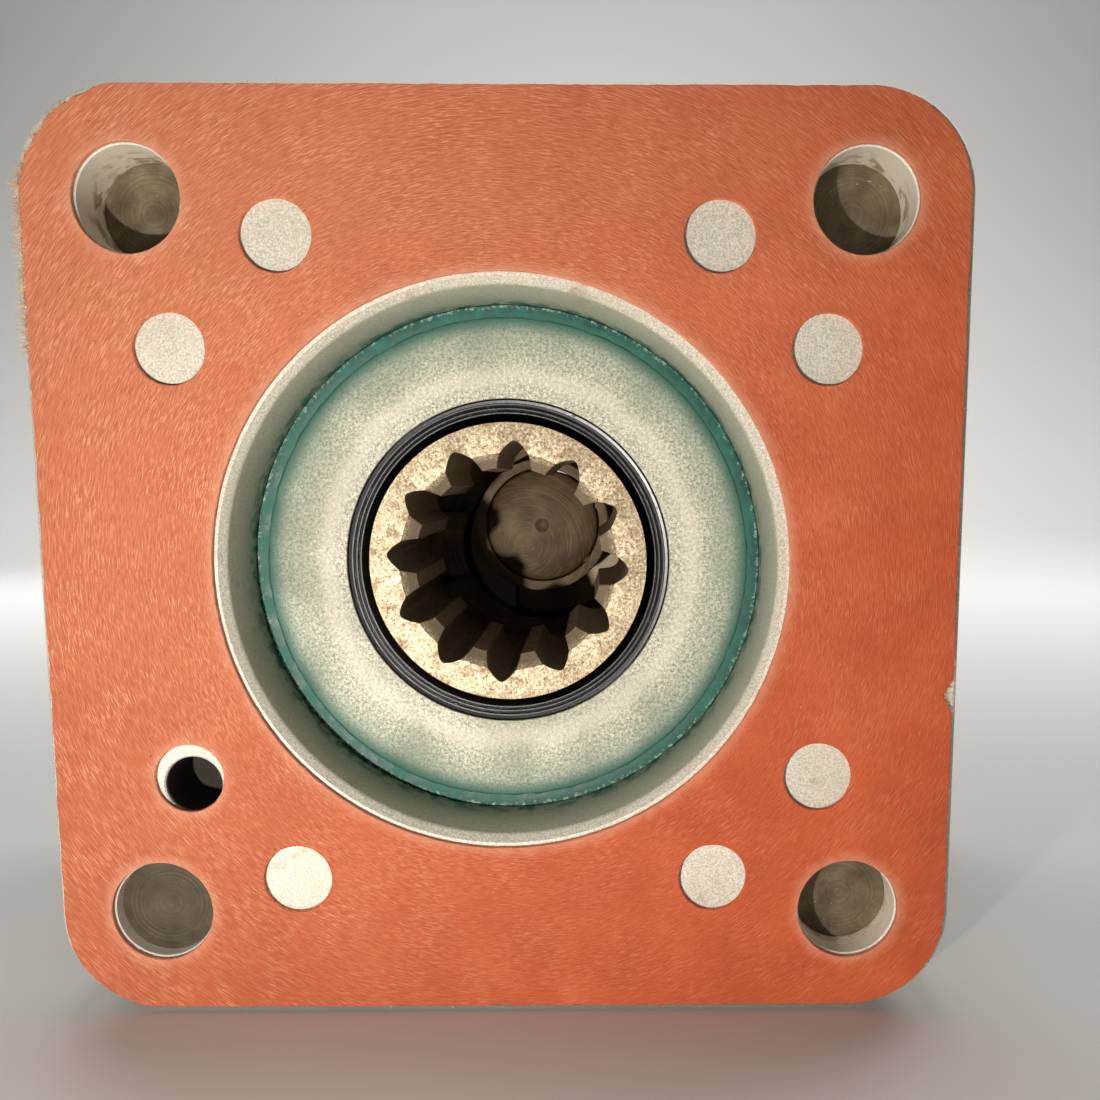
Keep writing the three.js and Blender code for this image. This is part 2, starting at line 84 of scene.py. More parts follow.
FLANGE_HALF = span("front_housing")[1].x
FLANGE_FRONT, JOINT_FRONT = depths("front_housing")
JOINT_BACK, LENGTH = depths("rear_housing")
SEAL_FRONT, SEAL_BACK = depths("seal_case")
HUB_FRONT, HUB_BACK = depths("input_hub")
SHAFT_FRONT, SHAFT_BACK = depths("driven_shaft")
SHAFT_RADIUS = (span("driven_shaft")[1].x - span("driven_shaft")[0].x) / 2


def centre_of(node):
    """The (right, up) place of a turned node's own centre line."""
    low, high = span(node)
    return (low.x + high.x) / 2, (low.z + high.z) / 2


CORNERS = {"top_left": (-1, 1), "top_right": (1, 1), "bottom_left": (-1, -1), "bottom_right": (1, -1)}
BOLT_REACH = centre_of("tie_bolt_top_right")[0]
BOLT_CENTRES = {corner: (x * BOLT_REACH, z * BOLT_REACH) for corner, (x, z) in CORNERS.items()}
DISC_CENTRE = centre_of("oldham_disc")
DRIVEN_CENTRE = centre_of("driven_shaft")

CORNER_RADIUS = 16
FRONT_FLANGE_BACK = 19.1
REAR_FLANGE_FRONT = 93
BARREL_RADIUS, FILLET = 58, 4
BOLT_HOLE_RADIUS = 8.15
SEAL_BORE_RADIUS = 43.3
MOUTH_RADIUS, MOUTH_CHAMFER, MOUTH_TAPER_BACK = 44.6, 1.3, 9
SEAL_BORE_BACK = 23.2
BEARING_BORE_RADIUS = 40.3
BEARINGS_FRONT, BEARINGS_BACK = 26.4, 63.4
RING_GROOVE_RADIUS, RING_GROOVE_BACK = 42.6, 65.8
SPLINE_TEETH = 12
SPLINE_CREST, SPLINE_ROOT, SPLINE_BACK = 16.2, 20.75, 52
SPLINE_LEAD = 2.4
HUB_BEARING_RADIUS = 24.85
SPLINE_START = math.radians(-3.8)
HUB_RELIEF_RADIUS = 21.6
DISC_RADIUS, DISC_BORE_RADIUS = 36, 17.6
TONGUE_HALF, SLOT_HALF, KEYWAY_HALF = 7, 7.2, 3.15
REAR_OPENING_RADIUS = 29.5
GASKET_BORE_RADIUS, GASKET_HOLE_RADIUS, SMALL_HOLE_RADIUS = 46.45, 8.35, 5.6
SMALL_HOLES = [(x * a, z * b) for x, z in CORNERS.values() for a, b in ((34.5, 51.7), (51.7, 34.5))]
HOLE_OVER_LOCATING = SMALL_HOLES[5]  # the only small hole with a drilled hole behind it
LOCATING_HOLE, LOCATING_RADIUS, LOCATING_DEPTH = (-51.4, -35.8), 4.7, 15
BOLT_RADIUS, BOLT_TIP_RADIUS, BOLT_THREAD_ROOT, BOLT_HEAD_RADIUS = 7.85, 8.1, 7.2, 12
PLUG_CORNER_RADIUS = 8

SIDES = 144
SIDES_SMALL = 48


def place(right, depth, up):
    return ORIGIN + Vector((right, depth, up)) * UNIT


# ---- Mesh work ----

def rounded(outline, radius=0.3, steps=3):
    """A closed outline with its sharp corners rounded. Points on the axis stay as they are."""
    points = [Vector(point) for point in outline]
    made = []
    for i, point in enumerate(points):
        before, after = points[i - 1] - point, points[(i + 1) % len(points)] - point
        straight = before.length and after.length and before.angle(after) > math.radians(160)
        if point.x == 0 or straight:
            made.append(tuple(point))
            continue
        start = point + before.normalized() * min(radius, before.length * 0.45)
        end = point + after.normalized() * min(radius, after.length * 0.45)
        for step in range(steps + 1):
            t = step / steps
            made.append(tuple(start * (1 - t) ** 2 + point * (2 * t * (1 - t)) + end * t ** 2))
    return made


def band(inner, outer, low, high, edge=0.3):
    """A plain ring's outline, with rounded corners."""
    return rounded([(inner, low), (outer, low), (outer, high), (inner, high)], edge)


def skin(mesh, row, following):
    """Faces between two closed rows of vertices, apart from any with no area."""
    for j in range(len(row)):
        k = (j + 1) % len(row)
        if (row[j].co - following[j].co).length + (row[k].co - following[k].co).length > 1e-9:
            mesh.faces.new((row[j], row[k], following[k], following[j]))


def skin_and_ends(mesh, rows):
    """Faces through rows of vertices, and across the first row and the last."""
    for row, following in zip(rows, rows[1:]):
        skin(mesh, row, following)
    mesh.faces.new(rows[0])
    mesh.faces.new(rows[-1])


def loft(rings):
    """A closed mesh through rings of points, which wraps round in both directions."""
    mesh = bmesh.new()
    rows = [[mesh.verts.new(point) for point in ring] for ring in rings]
    for row, following in zip(rows, rows[1:] + rows[:1]):
        skin(mesh, row, following)
    bmesh.ops.remove_doubles(mesh, verts=mesh.verts, dist=2e-7)
    bmesh.ops.recalc_face_normals(mesh, faces=mesh.faces)
    return mesh


def turned(outline, sides=SIDES, centre=(0, 0), start=0.0):
    """A solid turned about the axis, or about a line beside it. A radius may be a function of the angle."""
    rings = []
    for side in range(sides):
        angle = start + side * TURN / sides
        ring = []
        for radius, depth in outline:
            reach = radius(angle) if callable(radius) else radius
            right = centre[0] + reach * math.cos(angle)
            up = centre[1] + reach * math.sin(angle)
            ring.append(place(right, depth, up))
        rings.append(ring)
    return loft(rings)


def stacked(sections):
    """A solid through outlines stacked along the axis, each a list of points, with flat ends."""
    mesh = bmesh.new()
    rows = [[mesh.verts.new(point) for point in section] for section in sections]
    skin_and_ends(mesh, rows)
    bmesh.ops.recalc_face_normals(mesh, faces=mesh.faces)
    return mesh


def rectangle(width, height, corner, inset=0.0, steps=10):
    """The outline of a rectangle with round corners, as (right, up) pairs."""
    points = []
    for quarter, (x, z) in enumerate(((1, 1), (-1, 1), (-1, -1), (1, -1))):
        for step in range(steps + 1):
            angle = (quarter + step / steps) * TURN / 4
            radius = corner - inset
            right = x * (width / 2 - corner) + radius * math.cos(angle)
            points.append((right, z * (height / 2 - corner) + radius * math.sin(angle)))
    return points


def edge_stations(front, back, radius, steps=3):
    """(inset, depth) pairs down the side of a plate with rounded edges."""
    quarter = [i * TURN / 4 / steps for i in range(steps + 1)]
    front_edge = [(radius * (1 - math.sin(a)), front + radius * (1 - math.cos(a))) for a in quarter]
    back_edge = [(radius * (1 - math.cos(a)), back - radius * (1 - math.sin(a))) for a in quarter]
    return front_edge + back_edge


def square_plate(side, corner, front, back, edge):
    return stacked([
        [place(right, depth, up) for right, up in rectangle(side, side, corner, inset)]
        for inset, depth in edge_stations(front, back, edge)
    ])


def block(low, high, edge=0.3):
    """A box between two corners given as (right, depth, up), with rounded edges."""
    mesh = bmesh.new()
    middle = [(a + b) / 2 for a, b in zip(low, high)]
    size = [abs(b - a) * UNIT for a, b in zip(low, high)]
    matrix = Matrix.Translation(place(*middle)) @ Matrix.Diagonal((*size, 1))
    bmesh.ops.create_cube(mesh, size=1, matrix=matrix)
    if edge:
        bmesh.ops.bevel(
            mesh, geom=mesh.edges[:], offset=edge * UNIT, segments=2, profile=0.5, affect="EDGES")
    return mesh


def mesh_data(name, mesh):
    data = bpy.data.meshes.new(name)
    mesh.to_mesh(data)
    mesh.free()
    return data


def added(name, data):
    """A new object in the scene, of some mesh, light or camera data."""
    thing = bpy.data.objects.new(name, data)
    bpy.context.scene.collection.objects.link(thing)
    return thing


def temporary(mesh):
    return added("temporary", mesh_data("temporary", mesh))


def worked(blank, additions=(), cuts=()):
    """The blank with solids added to it and then cut out of it."""
    base = temporary(blank)
    tools = []
    for solids, operation in ((additions, "UNION"), (cuts, "DIFFERENCE")):
        for solid in solids:
            tool = temporary(solid)
            modifier = base.modifiers.new("work", "BOOLEAN")
            modifier.operation, modifier.solver, modifier.object = operation, "MANIFOLD", tool
            tools.append(tool)
    mesh = bmesh.new()
    mesh.from_object(base, bpy.context.evaluated_depsgraph_get())
    for thing in (base, *tools):
        data = thing.data
        bpy.data.objects.remove(thing)
        bpy.data.meshes.remove(data)
    return mesh


def piece(name, mesh, surface, body, stands_for, crease=30):
    """Makes an object of a mesh, with its material, which rides on a body and may stand for a CAD node."""
    data = mesh_data(name, mesh)
    data.shade_smooth()
    data.set_sharp_from_angle(angle=math.radians(crease))
    data.materials.append(surface)
    thing = added(name, data)
    weighted = thing.modifiers.new("flat_faces_stay_flat", "WEIGHTED_NORMAL")
    weighted.keep_sharp = True
    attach(thing, body)
    if stands_for:
        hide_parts(stands_for)
    return thing


# ---- Materials ----

class Surface:
    """A procedural material under construction. Its places are in units from the axis's start."""

    def __init__(self, name, metallic, roughness):
        self.material = bpy.data.materials.new(name)
        self.material.use_nodes = True
        self.tree = self.material.node_tree
        self.shader = self.tree.nodes["Principled BSDF"]
        self.shader.inputs["Metallic"].default_value = metallic
        self.shader.inputs["Roughness"].default_value = roughness
        where = self.node("TexCoord").outputs["Object"]
        self.place = self.vector("SCALE", self.vector("SUBTRACT", where, tuple(ORIGIN)), scale=1 / UNIT)
        self.flat = self.vector("MULTIPLY", self.place, (1, 0, 1))
        self.radius = self.vector("LENGTH", self.flat, output="Value")
        self.right, self.depth, self.up = self.node("SeparateXYZ", self.place).outputs

    def link(self, value, socket):
        if isinstance(value, bpy.types.NodeSocket):
            self.tree.links.new(value, socket)
        else:
            socket.default_value = value

    def node(self, kind, *values):
        """A new node, with its first inputs set or linked to values. None leaves one as it is."""
        node = self.tree.nodes.new(f"ShaderNode{kind}")
        for value, socket in zip(values, node.inputs):
            if value is not None:
                self.link(value, socket)
        return node

    def vector(self, operation, first, second=None, scale=None, output="Vector"):
        node = self.node("VectorMath", first, second)
        node.operation = operation
        if scale is not None:
            node.inputs["Scale"].default_value = scale
        return node.outputs[output]

    def math(self, operation, first, second=0.0):
        node = self.node("Math", first, second)
        node.operation = operation
        return node.outputs[0]

    def times(self, first, *others):
        for other in others:
            first = self.math("MULTIPLY", first, other)
        return first

    def plus(self, first, *others):
        for other in others:
            first = self.math("ADD", first, other)
        return first

    def fade(self, value, low, high, start=0.0, end=1.0):
        """start below low, end above high, and a smooth change between them."""
        node = self.node("MapRange", value, low, high, start, end)
        node.interpolation_type = "SMOOTHSTEP"
        return node.outputs[0]

    def grain(self, size, detail=2.0, roughness=0.5, where=None, distortion=0.0):
        """Noise whose features are about size units across."""
        node = self.node("TexNoise", self.place if where is None else where)
        node.inputs["Scale"].default_value = 1 / size
        node.inputs["Detail"].default_value = detail
        node.inputs["Roughness"].default_value = roughness
        node.inputs["Distortion"].default_value = distortion
        return node.outputs["Fac"]

    def between(self, front, back, blur):
        """1 between two depths and 0 elsewhere."""
        behind = self.fade(self.depth, front - blur, front + blur)
        return self.times(behind, self.fade(self.depth, back - blur, back + blur, 1.0, 0.0))

    def polar(self, around, across, along=1.0):
        """Places round the axis, stretched so that noise is drawn out along circles."""
        angle = self.math("ARCTAN2", self.up, self.right)
        return self.node(
            "CombineXYZ", self.times(angle, around), self.times(self.radius, across),
            self.times(self.depth, along)).outputs[0]

    def away(self, centre):
        """The distance in units from a line beside the axis, which passes through a (right, up) place."""
        return self.vector("DISTANCE", self.flat, (centre[0], 0, centre[1]), output="Value")

    def rim(self, holes):
        """The distance in units from the nearest of some holes' rims, each (centre, radius)."""
        nearest = None
        for centre, radius in holes:
            rim = self.math("ABSOLUTE", self.math("SUBTRACT", self.away(centre), radius))
            nearest = rim if nearest is None else self.math("MINIMUM", nearest, rim)
        return nearest

    def ramp(self, value, *stops):
        """Takes the base colour from a value, through stops of (position, red, green, blue)."""
        node = self.node("ValToRGB", value)
        while len(node.color_ramp.elements) < len(stops):
            node.color_ramp.elements.new(0.5)
        for element, (position, *colour) in zip(node.color_ramp.elements, stops):
            element.position = position
            element.color = tone(*colour)
        self.base = node.outputs[0]

    def stain(self, mask, colour, share=None):
        """Mixes a colour into the base colour where the mask is, at most by the share."""
        node = self.node("Mix")
        node.data_type = "RGBA"
        self.link(mask if share is None else self.times(mask, share), node.inputs[0])
        self.link(self.base, node.inputs[6])
        self.link(tone(*colour), node.inputs[7])
        self.base = node.outputs[2]

    def roughness(self, value):
        self.link(value, self.shader.inputs["Roughness"])

    def bump(self, height, rise, strength=1.0):
        """Raises the surface by up to rise units where height is 1. Bumps add up."""
        node = self.node("Bump")
        node.inputs["Strength"].default_value = strength
        node.inputs["Distance"].default_value = rise * UNIT
        self.link(height, node.inputs["Height"])
        earlier = self.shader.inputs["Normal"].links
        if earlier:
            self.link(earlier[0].from_socket, node.inputs["Normal"])
        self.link(node.outputs[0], self.shader.inputs["Normal"])

    def finished(self):
        self.link(self.base, self.shader.inputs["Base Color"])
        return self.material


def tone(red, green, blue):
    """A colour given as it looks on screen, from 0 to 255, as the renderer wants it."""
    def linear(level):
        level /= 255
        return level / 12.92 if level <= 0.04045 else ((level + 0.055) / 1.055) ** 2.4
    return (linear(red), linear(green), linear(blue), 1.0)


def gasket_fibre():
    s = Surface("gasket_fibre", 0.0, 0.8)
    mottle = s.grain(16, detail=4, roughness=0.55)
    s.ramp(mottle, (0.32, 186, 76, 32), (0.52, 198, 84, 36), (0.72, 208, 94, 46))
    # Painted sheen makes the sheet paler towards the upper left, and painted shade makes it darker towards
    # the lower left.
    slope = s.plus(s.times(s.right, -0.75), s.times(s.up, 0.5), s.times(mottle, 50))
    painted_sheen = s.fade(slope, -45, 95, 0.0, 0.6)
    s.stain(painted_sheen, (212, 136, 98))
    low_left = s.times(s.plus(s.right, s.up), -1)
    s.stain(s.fade(low_left, 10, 130, 0.0, 0.45), (166, 74, 36))
    # Fine paler fibres drawn out along circles round the bore, partly painted glints, strongest where the
    # painted sheen is.
    streaks = s.grain(1.0, detail=3, roughness=0.6, where=s.polar(34, 5.6), distortion=0.5)
    patches = s.fade(s.grain(9, detail=2), 0.35, 0.7, 0.4, 1.0)
    fibres = s.times(s.fade(streaks, 0.50, 0.62), patches)
    s.stain(fibres, (240, 176, 136), s.plus(s.times(painted_sheen, 0.8), 0.14))
    s.stain(s.fade(streaks, 0.36, 0.48, 0.34, 0.0), (158, 62, 30))
    flecks = s.grain(0.9, detail=1, where=s.polar(30, 4.0))
    s.stain(s.fade(flecks, 0.76, 0.80), (250, 206, 170), 0.4)
    s.stain(s.fade(s.grain(1.3, detail=1), 0.77, 0.81), (120, 52, 34), 0.5)
    # Paler rims round the holes and the bore.
    holes = [(centre, GASKET_HOLE_RADIUS) for centre in BOLT_CENTRES.values()]
    rim = s.rim(holes + [((0, 0), GASKET_BORE_RADIUS), (HOLE_OVER_LOCATING, SMALL_HOLE_RADIUS)])
    ragged = s.plus(rim, s.times(s.grain(2.6, detail=3), 2.4))
    s.stain(s.fade(ragged, 0.9, 3.4, 1.0, 0.0), (232, 170, 140), 0.4)
    s.bump(s.grain(0.35, detail=3), 0.04, 0.5)
    s.bump(streaks, 0.16, 1.0)
    s.bump(mottle, 0.25, 0.4)
    s.shader.inputs["Sheen Weight"].default_value = 0.12
    s.shader.inputs["Sheen Roughness"].default_value = 0.5
    s.shader.inputs["Sheen Tint"].default_value = tone(255, 220, 190)
    s.roughness(s.fade(fibres, 0, 1, 0.72, 0.42))
    return s.finished()


def torn_fibre():
    s = Surface("torn_fibre", 0.0, 0.85)
    s.ramp(s.grain(1.5), (0.35, 214, 150, 112), (0.6, 232, 212, 176))
    s.bump(s.grain(0.2), 0.02)
    return s.finished()


def cast_aluminium():
    s = Surface("cast_aluminium", 0.25, 0.55)
    fine = s.grain(0.34, detail=2, roughness=0.7)
    broad = s.grain(16, detail=4)
    s.ramp(fine, (0.30, 186, 180, 164), (0.5, 220, 214, 198), (0.70, 246, 242, 230))
    s.stain(s.fade(broad, 0.42, 0.72, 0.0, 0.3), (184, 176, 158))
    s.stain(s.fade(s.grain(5, detail=5, roughness=0.65), 0.60, 0.72), (142, 114, 78), 0.4)
    # Painted highlight on the bolt holes' walls, with brown wear deeper down, and painted shade deep in the
    # drilled hole.
    holes = [(centre, BOLT_HOLE_RADIUS) for centre in BOLT_CENTRES.values()]
    in_hole = s.fade(s.rim(holes), 0.0, 0.3, 1.0, 0.0)
    s.stain(in_hole, (250, 244, 230), 0.8)
    below = s.fade(s.depth, FLANGE_FRONT + 2, FLANGE_FRONT + 9)
    s.stain(s.times(in_hole, below, s.fade(s.grain(2.4, detail=4), 0.46, 0.62)), (138, 106, 66), 0.75)
    drilled = s.fade(s.away(LOCATING_HOLE), LOCATING_RADIUS + 0.7, LOCATING_RADIUS + 0.9, 1.0, 0.0)
    # Painted shade: the drilled hole's inside is painted near black, and made rough.
    drilled_hole_shade = s.times(drilled, s.between(FLANGE_FRONT + 0.85, LOCATING_DEPTH + 1, 0.55))
    s.stain(drilled_hole_shade, (44, 34, 30), 0.96)
    # The bore's wall turns grey-green, more so deeper in, and has streaks of sealant dragged along it near
    # the seal when the seal went in.
    inner = s.fade(s.radius, MOUTH_RADIUS, MOUTH_RADIUS + 0.6, 1.0, 0.0)
    wall = s.times(inner, s.between(FLANGE_FRONT + 1, SEAL_BACK, 0.5))
    near_seal = s.fade(s.depth, SEAL_FRONT - 6.5, SEAL_FRONT - 0.5)
    drag = s.grain(1.0, detail=4, where=s.polar(22, 0.2, 0.35))
    s.stain(s.times(wall, s.fade(s.depth, 1.5, SEAL_FRONT, 0.5, 0.85)), (122, 136, 116))
    s.stain(s.times(wall, near_seal, s.fade(drag, 0.46, 0.56)), (20, 92, 78), 0.85)
    s.bump(fine, 0.06, 0.6)
    s.bump(s.grain(2.5, detail=3), 0.08, 0.35)
    # Turning marks on the bore and the mouth's chamfer.
    turning = s.grain(0.5, detail=1, where=s.polar(0.8, 2.2, 2.2))
    s.bump(s.times(turning, s.fade(s.radius, 48, 49, 1.0, 0.0)), 0.05, 0.5)
    s.roughness(s.math("MAXIMUM", s.fade(broad, 0.3, 0.7, 0.46, 0.62), s.times(drilled_hole_shade, 0.95)))
    return s.finished()


def plated_steel():
    """The seal's case: a dull grainy plate, with the sealant's green spread thinly over its outer part."""
    s = Surface("plated_steel", 0.15, 0.6)
    fine = s.grain(0.55, detail=4, roughness=0.9)
    cloud = s.grain(11, detail=4)
    s.ramp(fine, (0.36, 118, 118, 100), (0.5, 196, 193, 174), (0.64, 250, 247, 230))
    s.stain(s.fade(cloud, 0.42, 0.66, 0.0, 0.35), (168, 168, 150))
    uneven_radius = s.plus(s.radius, s.times(cloud, 4.0))
    s.stain(s.fade(uneven_radius, 32.5, 45.5), (84, 122, 102), 0.66)
    edge = s.fade(s.plus(s.radius, s.times(fine, 1.2)), 38.6, 42.2)
    s.stain(edge, (12, 90, 76), 0.95)
    off_ring = s.math("ABSOLUTE", s.math("SUBTRACT", uneven_radius, 33.4))
    s.stain(s.fade(off_ring, 0.5, 2.6, 0.45, 0.0), (228, 222, 206))
    s.stain(s.fade(s.grain(1.4, detail=4, roughness=0.75), 0.63, 0.68), (104, 106, 90), 0.5)
    s.bump(fine, 0.07, 0.8)
    s.bump(cloud, 0.10, 0.25)
    s.roughness(s.fade(cloud, 0.3, 0.7, 0.52, 0.7))
    return s.finished()


def green_sealant():
    s = Surface("green_sealant", 0.0, 0.5)
    body = s.grain(2.5, detail=4)
    s.ramp(body, (0.3, 6, 70, 60), (0.55, 12, 90, 77), (0.78, 36, 116, 100))
    # Pale metal flecks along the ragged outer edge.
    out = s.plus(s.radius, s.times(s.grain(0.8, detail=3), 1.6))
    flecks = s.times(s.fade(out, 43.2, 43.9), s.fade(s.grain(0.5, detail=2), 0.5, 0.62))
    s.stain(flecks, (168, 186, 168), 0.8)
    s.bump(s.grain(0.6, detail=3), 0.07, 0.6)
    s.roughness(s.fade(body, 0.3, 0.7, 0.42, 0.62))
    return s.finished()


def black_rubber():
    """Dusty rubber, with painted shade making it near black where the lip turns inwards."""
    s = Surface("black_rubber", 0.0, 0.5)
    dust = s.fade(s.grain(1.2, detail=5, roughness=0.7), 0.58, 0.72)
    s.base = tone(24, 24, 26)
    s.stain(dust, (140, 136, 126), 0.45)
    # Painted shade where the lip turns inwards.
    s.stain(s.fade(s.radius, 25.3, 25.7, 0.95, 0.0), (5, 5, 6))
    s.bump(s.grain(0.4, detail=3), 0.04, 0.5)
    s.roughness(s.fade(dust, 0, 1, 0.3, 0.7))
    return s.finished()


def tan_steel():
    """Heat-tinted steel with oil on it and a sparkling broken grain."""
    s = Surface("tan_steel", 0.35, 0.52)
    fine = s.grain(0.5, detail=3.5, roughness=0.85)
    s.ramp(fine, (0.36, 104, 80, 50), (0.46, 180, 158, 122), (0.57, 216, 200, 170), (0.66, 255, 250, 234))
    brown = s.fade(s.grain(2.2, detail=4), 0.48, 0.72)
    s.stain(brown, (142, 110, 70), 0.45)
    inside = s.fade(s.depth, HUB_FRONT + 0.3, HUB_FRONT + 1.2)
    bored = s.fade(s.radius, HUB_RELIEF_RADIUS - 0.1, HUB_RELIEF_RADIUS + 0.4, 1.0, 0.0)
    s.stain(s.times(inside, bored), (140, 124, 100), 0.85)
    s.bump(fine, 0.10, 0.8)
    s.bump(s.grain(0.8, detail=2, where=s.polar(3.0, 4.0)), 0.04, 0.35)
    s.roughness(s.fade(brown, 0, 1, 0.42, 0.6))
    return s.finished()


def brown_steel():
    s = Surface("brown_steel", 0.25, 0.62)
    s.ramp(s.grain(5.5, detail=4), (0.3, 70, 56, 38), (0.55, 96, 78, 54), (0.75, 122, 102, 74))
    turning = s.grain(0.6, detail=1, where=s.polar(0.7, 2.0))
    s.stain(s.fade(turning, 0.5, 0.7, 0, 0.25), (164, 142, 104))
    s.bump(turning, 0.05, 0.5)
    s.bump(s.grain(0.35), 0.03, 0.4)
    return s.finished()


def plain_metal(name, dark, middle, light, metallic=0.85, roughness=0.4, wear=0.3):
    """Machined metal: fine turning marks, patches of oil and small scratches."""
    s = Surface(name, metallic, roughness)
    cloud = s.grain(6, detail=5, roughness=0.6)
    s.ramp(cloud, (0.3, *dark), (0.5, *middle), (0.74, *light))
    fine = s.grain(0.3, detail=2)
    s.stain(s.fade(fine, 0.5, 0.75, 0.0, wear), light)
    s.bump(fine, 0.03, 0.4)
    s.bump(s.grain(0.5, detail=2, where=s.polar(1.2, 2.4)), 0.03, 0.3)
    s.roughness(s.fade(cloud, 0.3, 0.7, roughness - 0.08, roughness + 0.12))
    return s.finished()


def bolt_steel(centre, darkening):
    """A bolt's dark steel with oil on it, and turned rings about the bolt's own centre line."""
    s = Surface("bolt_steel", 0.5, 0.5)
    cloud = s.grain(4, detail=5, roughness=0.6)
    node = s.node("TexNoise")
    node.noise_dimensions = "1D"
    s.link(s.away(centre), node.inputs["W"])
    node.inputs["Scale"].default_value = 2.6
    node.inputs["Detail"].default_value = 3
    rings = node.outputs["Fac"]
    s.ramp(cloud, (0.3, 92, 82, 64), (0.52, 120, 108, 86), (0.75, 146, 134, 112))
    s.stain(s.fade(rings, 0.42, 0.56, 0.3, 0.0), (78, 68, 52))
    s.stain(s.fade(s.grain(0.4, detail=1), 0.72, 0.78), (214, 206, 184), 0.7)
    # Darker towards near black by the share given for its corner.
    s.stain(darkening, (34, 28, 22))
    s.bump(rings, 0.06, 0.4)
    s.bump(s.grain(0.3, detail=2), 0.03, 0.4)
    s.roughness(s.fade(cloud, 0.3, 0.7, 0.42, 0.6))
    return s.finished()


FIBRE = gasket_fibre()
TORN_FIBRE = torn_fibre()
ALUMINIUM = cast_aluminium()
PLATED = plated_steel()
SEALANT = green_sealant()
RUBBER = black_rubber()
TAN = tan_steel()
BROWN = brown_steel()
SPRING = plain_metal("spring_steel", (78, 76, 72), (112, 109, 104), (160, 157, 150))
BEARING = plain_metal("bearing_steel", (168, 170, 172), (196, 198, 200), (226, 228, 230), 0.95, 0.22, 0.1)
BLACK = plain_metal("black_steel", (36, 34, 32), (52, 50, 47), (96, 92, 86), 0.6, 0.42)
BRASS = plain_metal("brass", (150, 112, 56), (184, 144, 80), (222, 186, 122), 0.9, 0.35)
COPPER = plain_metal("copper", (140, 80, 52), (178, 108, 74), (214, 148, 112), 0.9, 0.35)

# ---- Housings ----

def bolt_hole(centre, front, back, radius=BOLT_HOLE_RADIUS, chamfer=0.35):
    """A cutter for a round hole with a small chamfer at each end."""
    flare = radius + chamfer + 1
    return turned([
        (0, front - 1), (flare, front - 1), (radius, front + chamfer), (radius, back - chamfer),
        (flare, back + 1), (0, back + 1),
    ], SIDES_SMALL, centre)


def rib(quarter, flange, tip):
    """A cast gusset from a flange down to the barrel, with soft edges."""
    half, root, reach = 4, BARREL_RADIUS - 2, 70
    mesh = bmesh.new()
    outline = ((root, flange), (reach, flange), (reach - 1, flange + (tip - flange) * 0.1), (root, tip))
    sides = [[mesh.verts.new((r, s, side * half)) for r, s in outline] for side in (-1, 1)]
    skin_and_ends(mesh, sides)
    bmesh.ops.recalc_face_normals(mesh, faces=mesh.faces)
    bmesh.ops.bevel(mesh, geom=mesh.edges[:], offset=0.8, segments=3, profile=0.5, affect="EDGES")
    turn = quarter * TURN / 4
    for vert in mesh.verts:
        r, s, t = vert.co
        right, up = r * math.cos(turn) - t * math.sin(turn), r * math.sin(turn) + t * math.cos(turn)
        vert.co = place(right, s, up)
    return mesh


def dowel_holes():
    return [
        turned([(0, 59.7), (3.3, 59.7), (3.3, 77.3), (0, 77.3)], 24, (side * 51, 0)) for side in (-1, 1)
    ]


def front_housing():
    front, back = FLANGE_FRONT, FRONT_FLANGE_BACK
    blank = square_plate(2 * FLANGE_HALF, CORNER_RADIUS, front, back, 0.8)
    fillet = [
        (BARREL_RADIUS + FILLET * (1 - math.sin(a)), back + FILLET * (1 - math.cos(a)))
        for a in (i * TURN / 24 for i in range(7))
    ]
    barrel = turned(
        [(0, front + 3), (BARREL_RADIUS + FILLET, front + 3)] + fillet
        + [(BARREL_RADIUS, JOINT_FRONT - 1), (BARREL_RADIUS - 1, JOINT_FRONT), (0, JOINT_FRONT)], 180)
    mouth = front - MOUTH_CHAMFER
    bore = turned(rounded([
        (0, mouth), (MOUTH_RADIUS + 2 * MOUTH_CHAMFER, mouth), (MOUTH_RADIUS, front + MOUTH_CHAMFER),
        (SEAL_BORE_RADIUS, MOUTH_TAPER_BACK), (SEAL_BORE_RADIUS, SEAL_BORE_BACK), (37.5, SEAL_BORE_BACK),
        (37.5, BEARINGS_FRONT), (BEARING_BORE_RADIUS, BEARINGS_FRONT), (BEARING_BORE_RADIUS, BEARINGS_BACK),
        (RING_GROOVE_RADIUS, BEARINGS_BACK), (RING_GROOVE_RADIUS, RING_GROOVE_BACK),
        (BEARING_BORE_RADIUS, RING_GROOVE_BACK), (BEARING_BORE_RADIUS, JOINT_FRONT + 1), (0, JOINT_FRONT + 1),
    ], 0.35), 180)
    locating = turned([
        (0, front - 1), (LOCATING_RADIUS + 1.25, front - 1), (LOCATING_RADIUS, front + 0.25),
        (LOCATING_RADIUS, LOCATING_DEPTH - 0.8), (0, LOCATING_DEPTH),
    ], SIDES_SMALL, LOCATING_HOLE)
    holes = [bolt_hole(centre, front, back) for centre in BOLT_CENTRES.values()]
    ribs = [rib(quarter, back - 1, back + 7) for quarter in range(4)]
    return worked(blank, [barrel, *ribs], [bore, locating, *holes, *dowel_holes()])


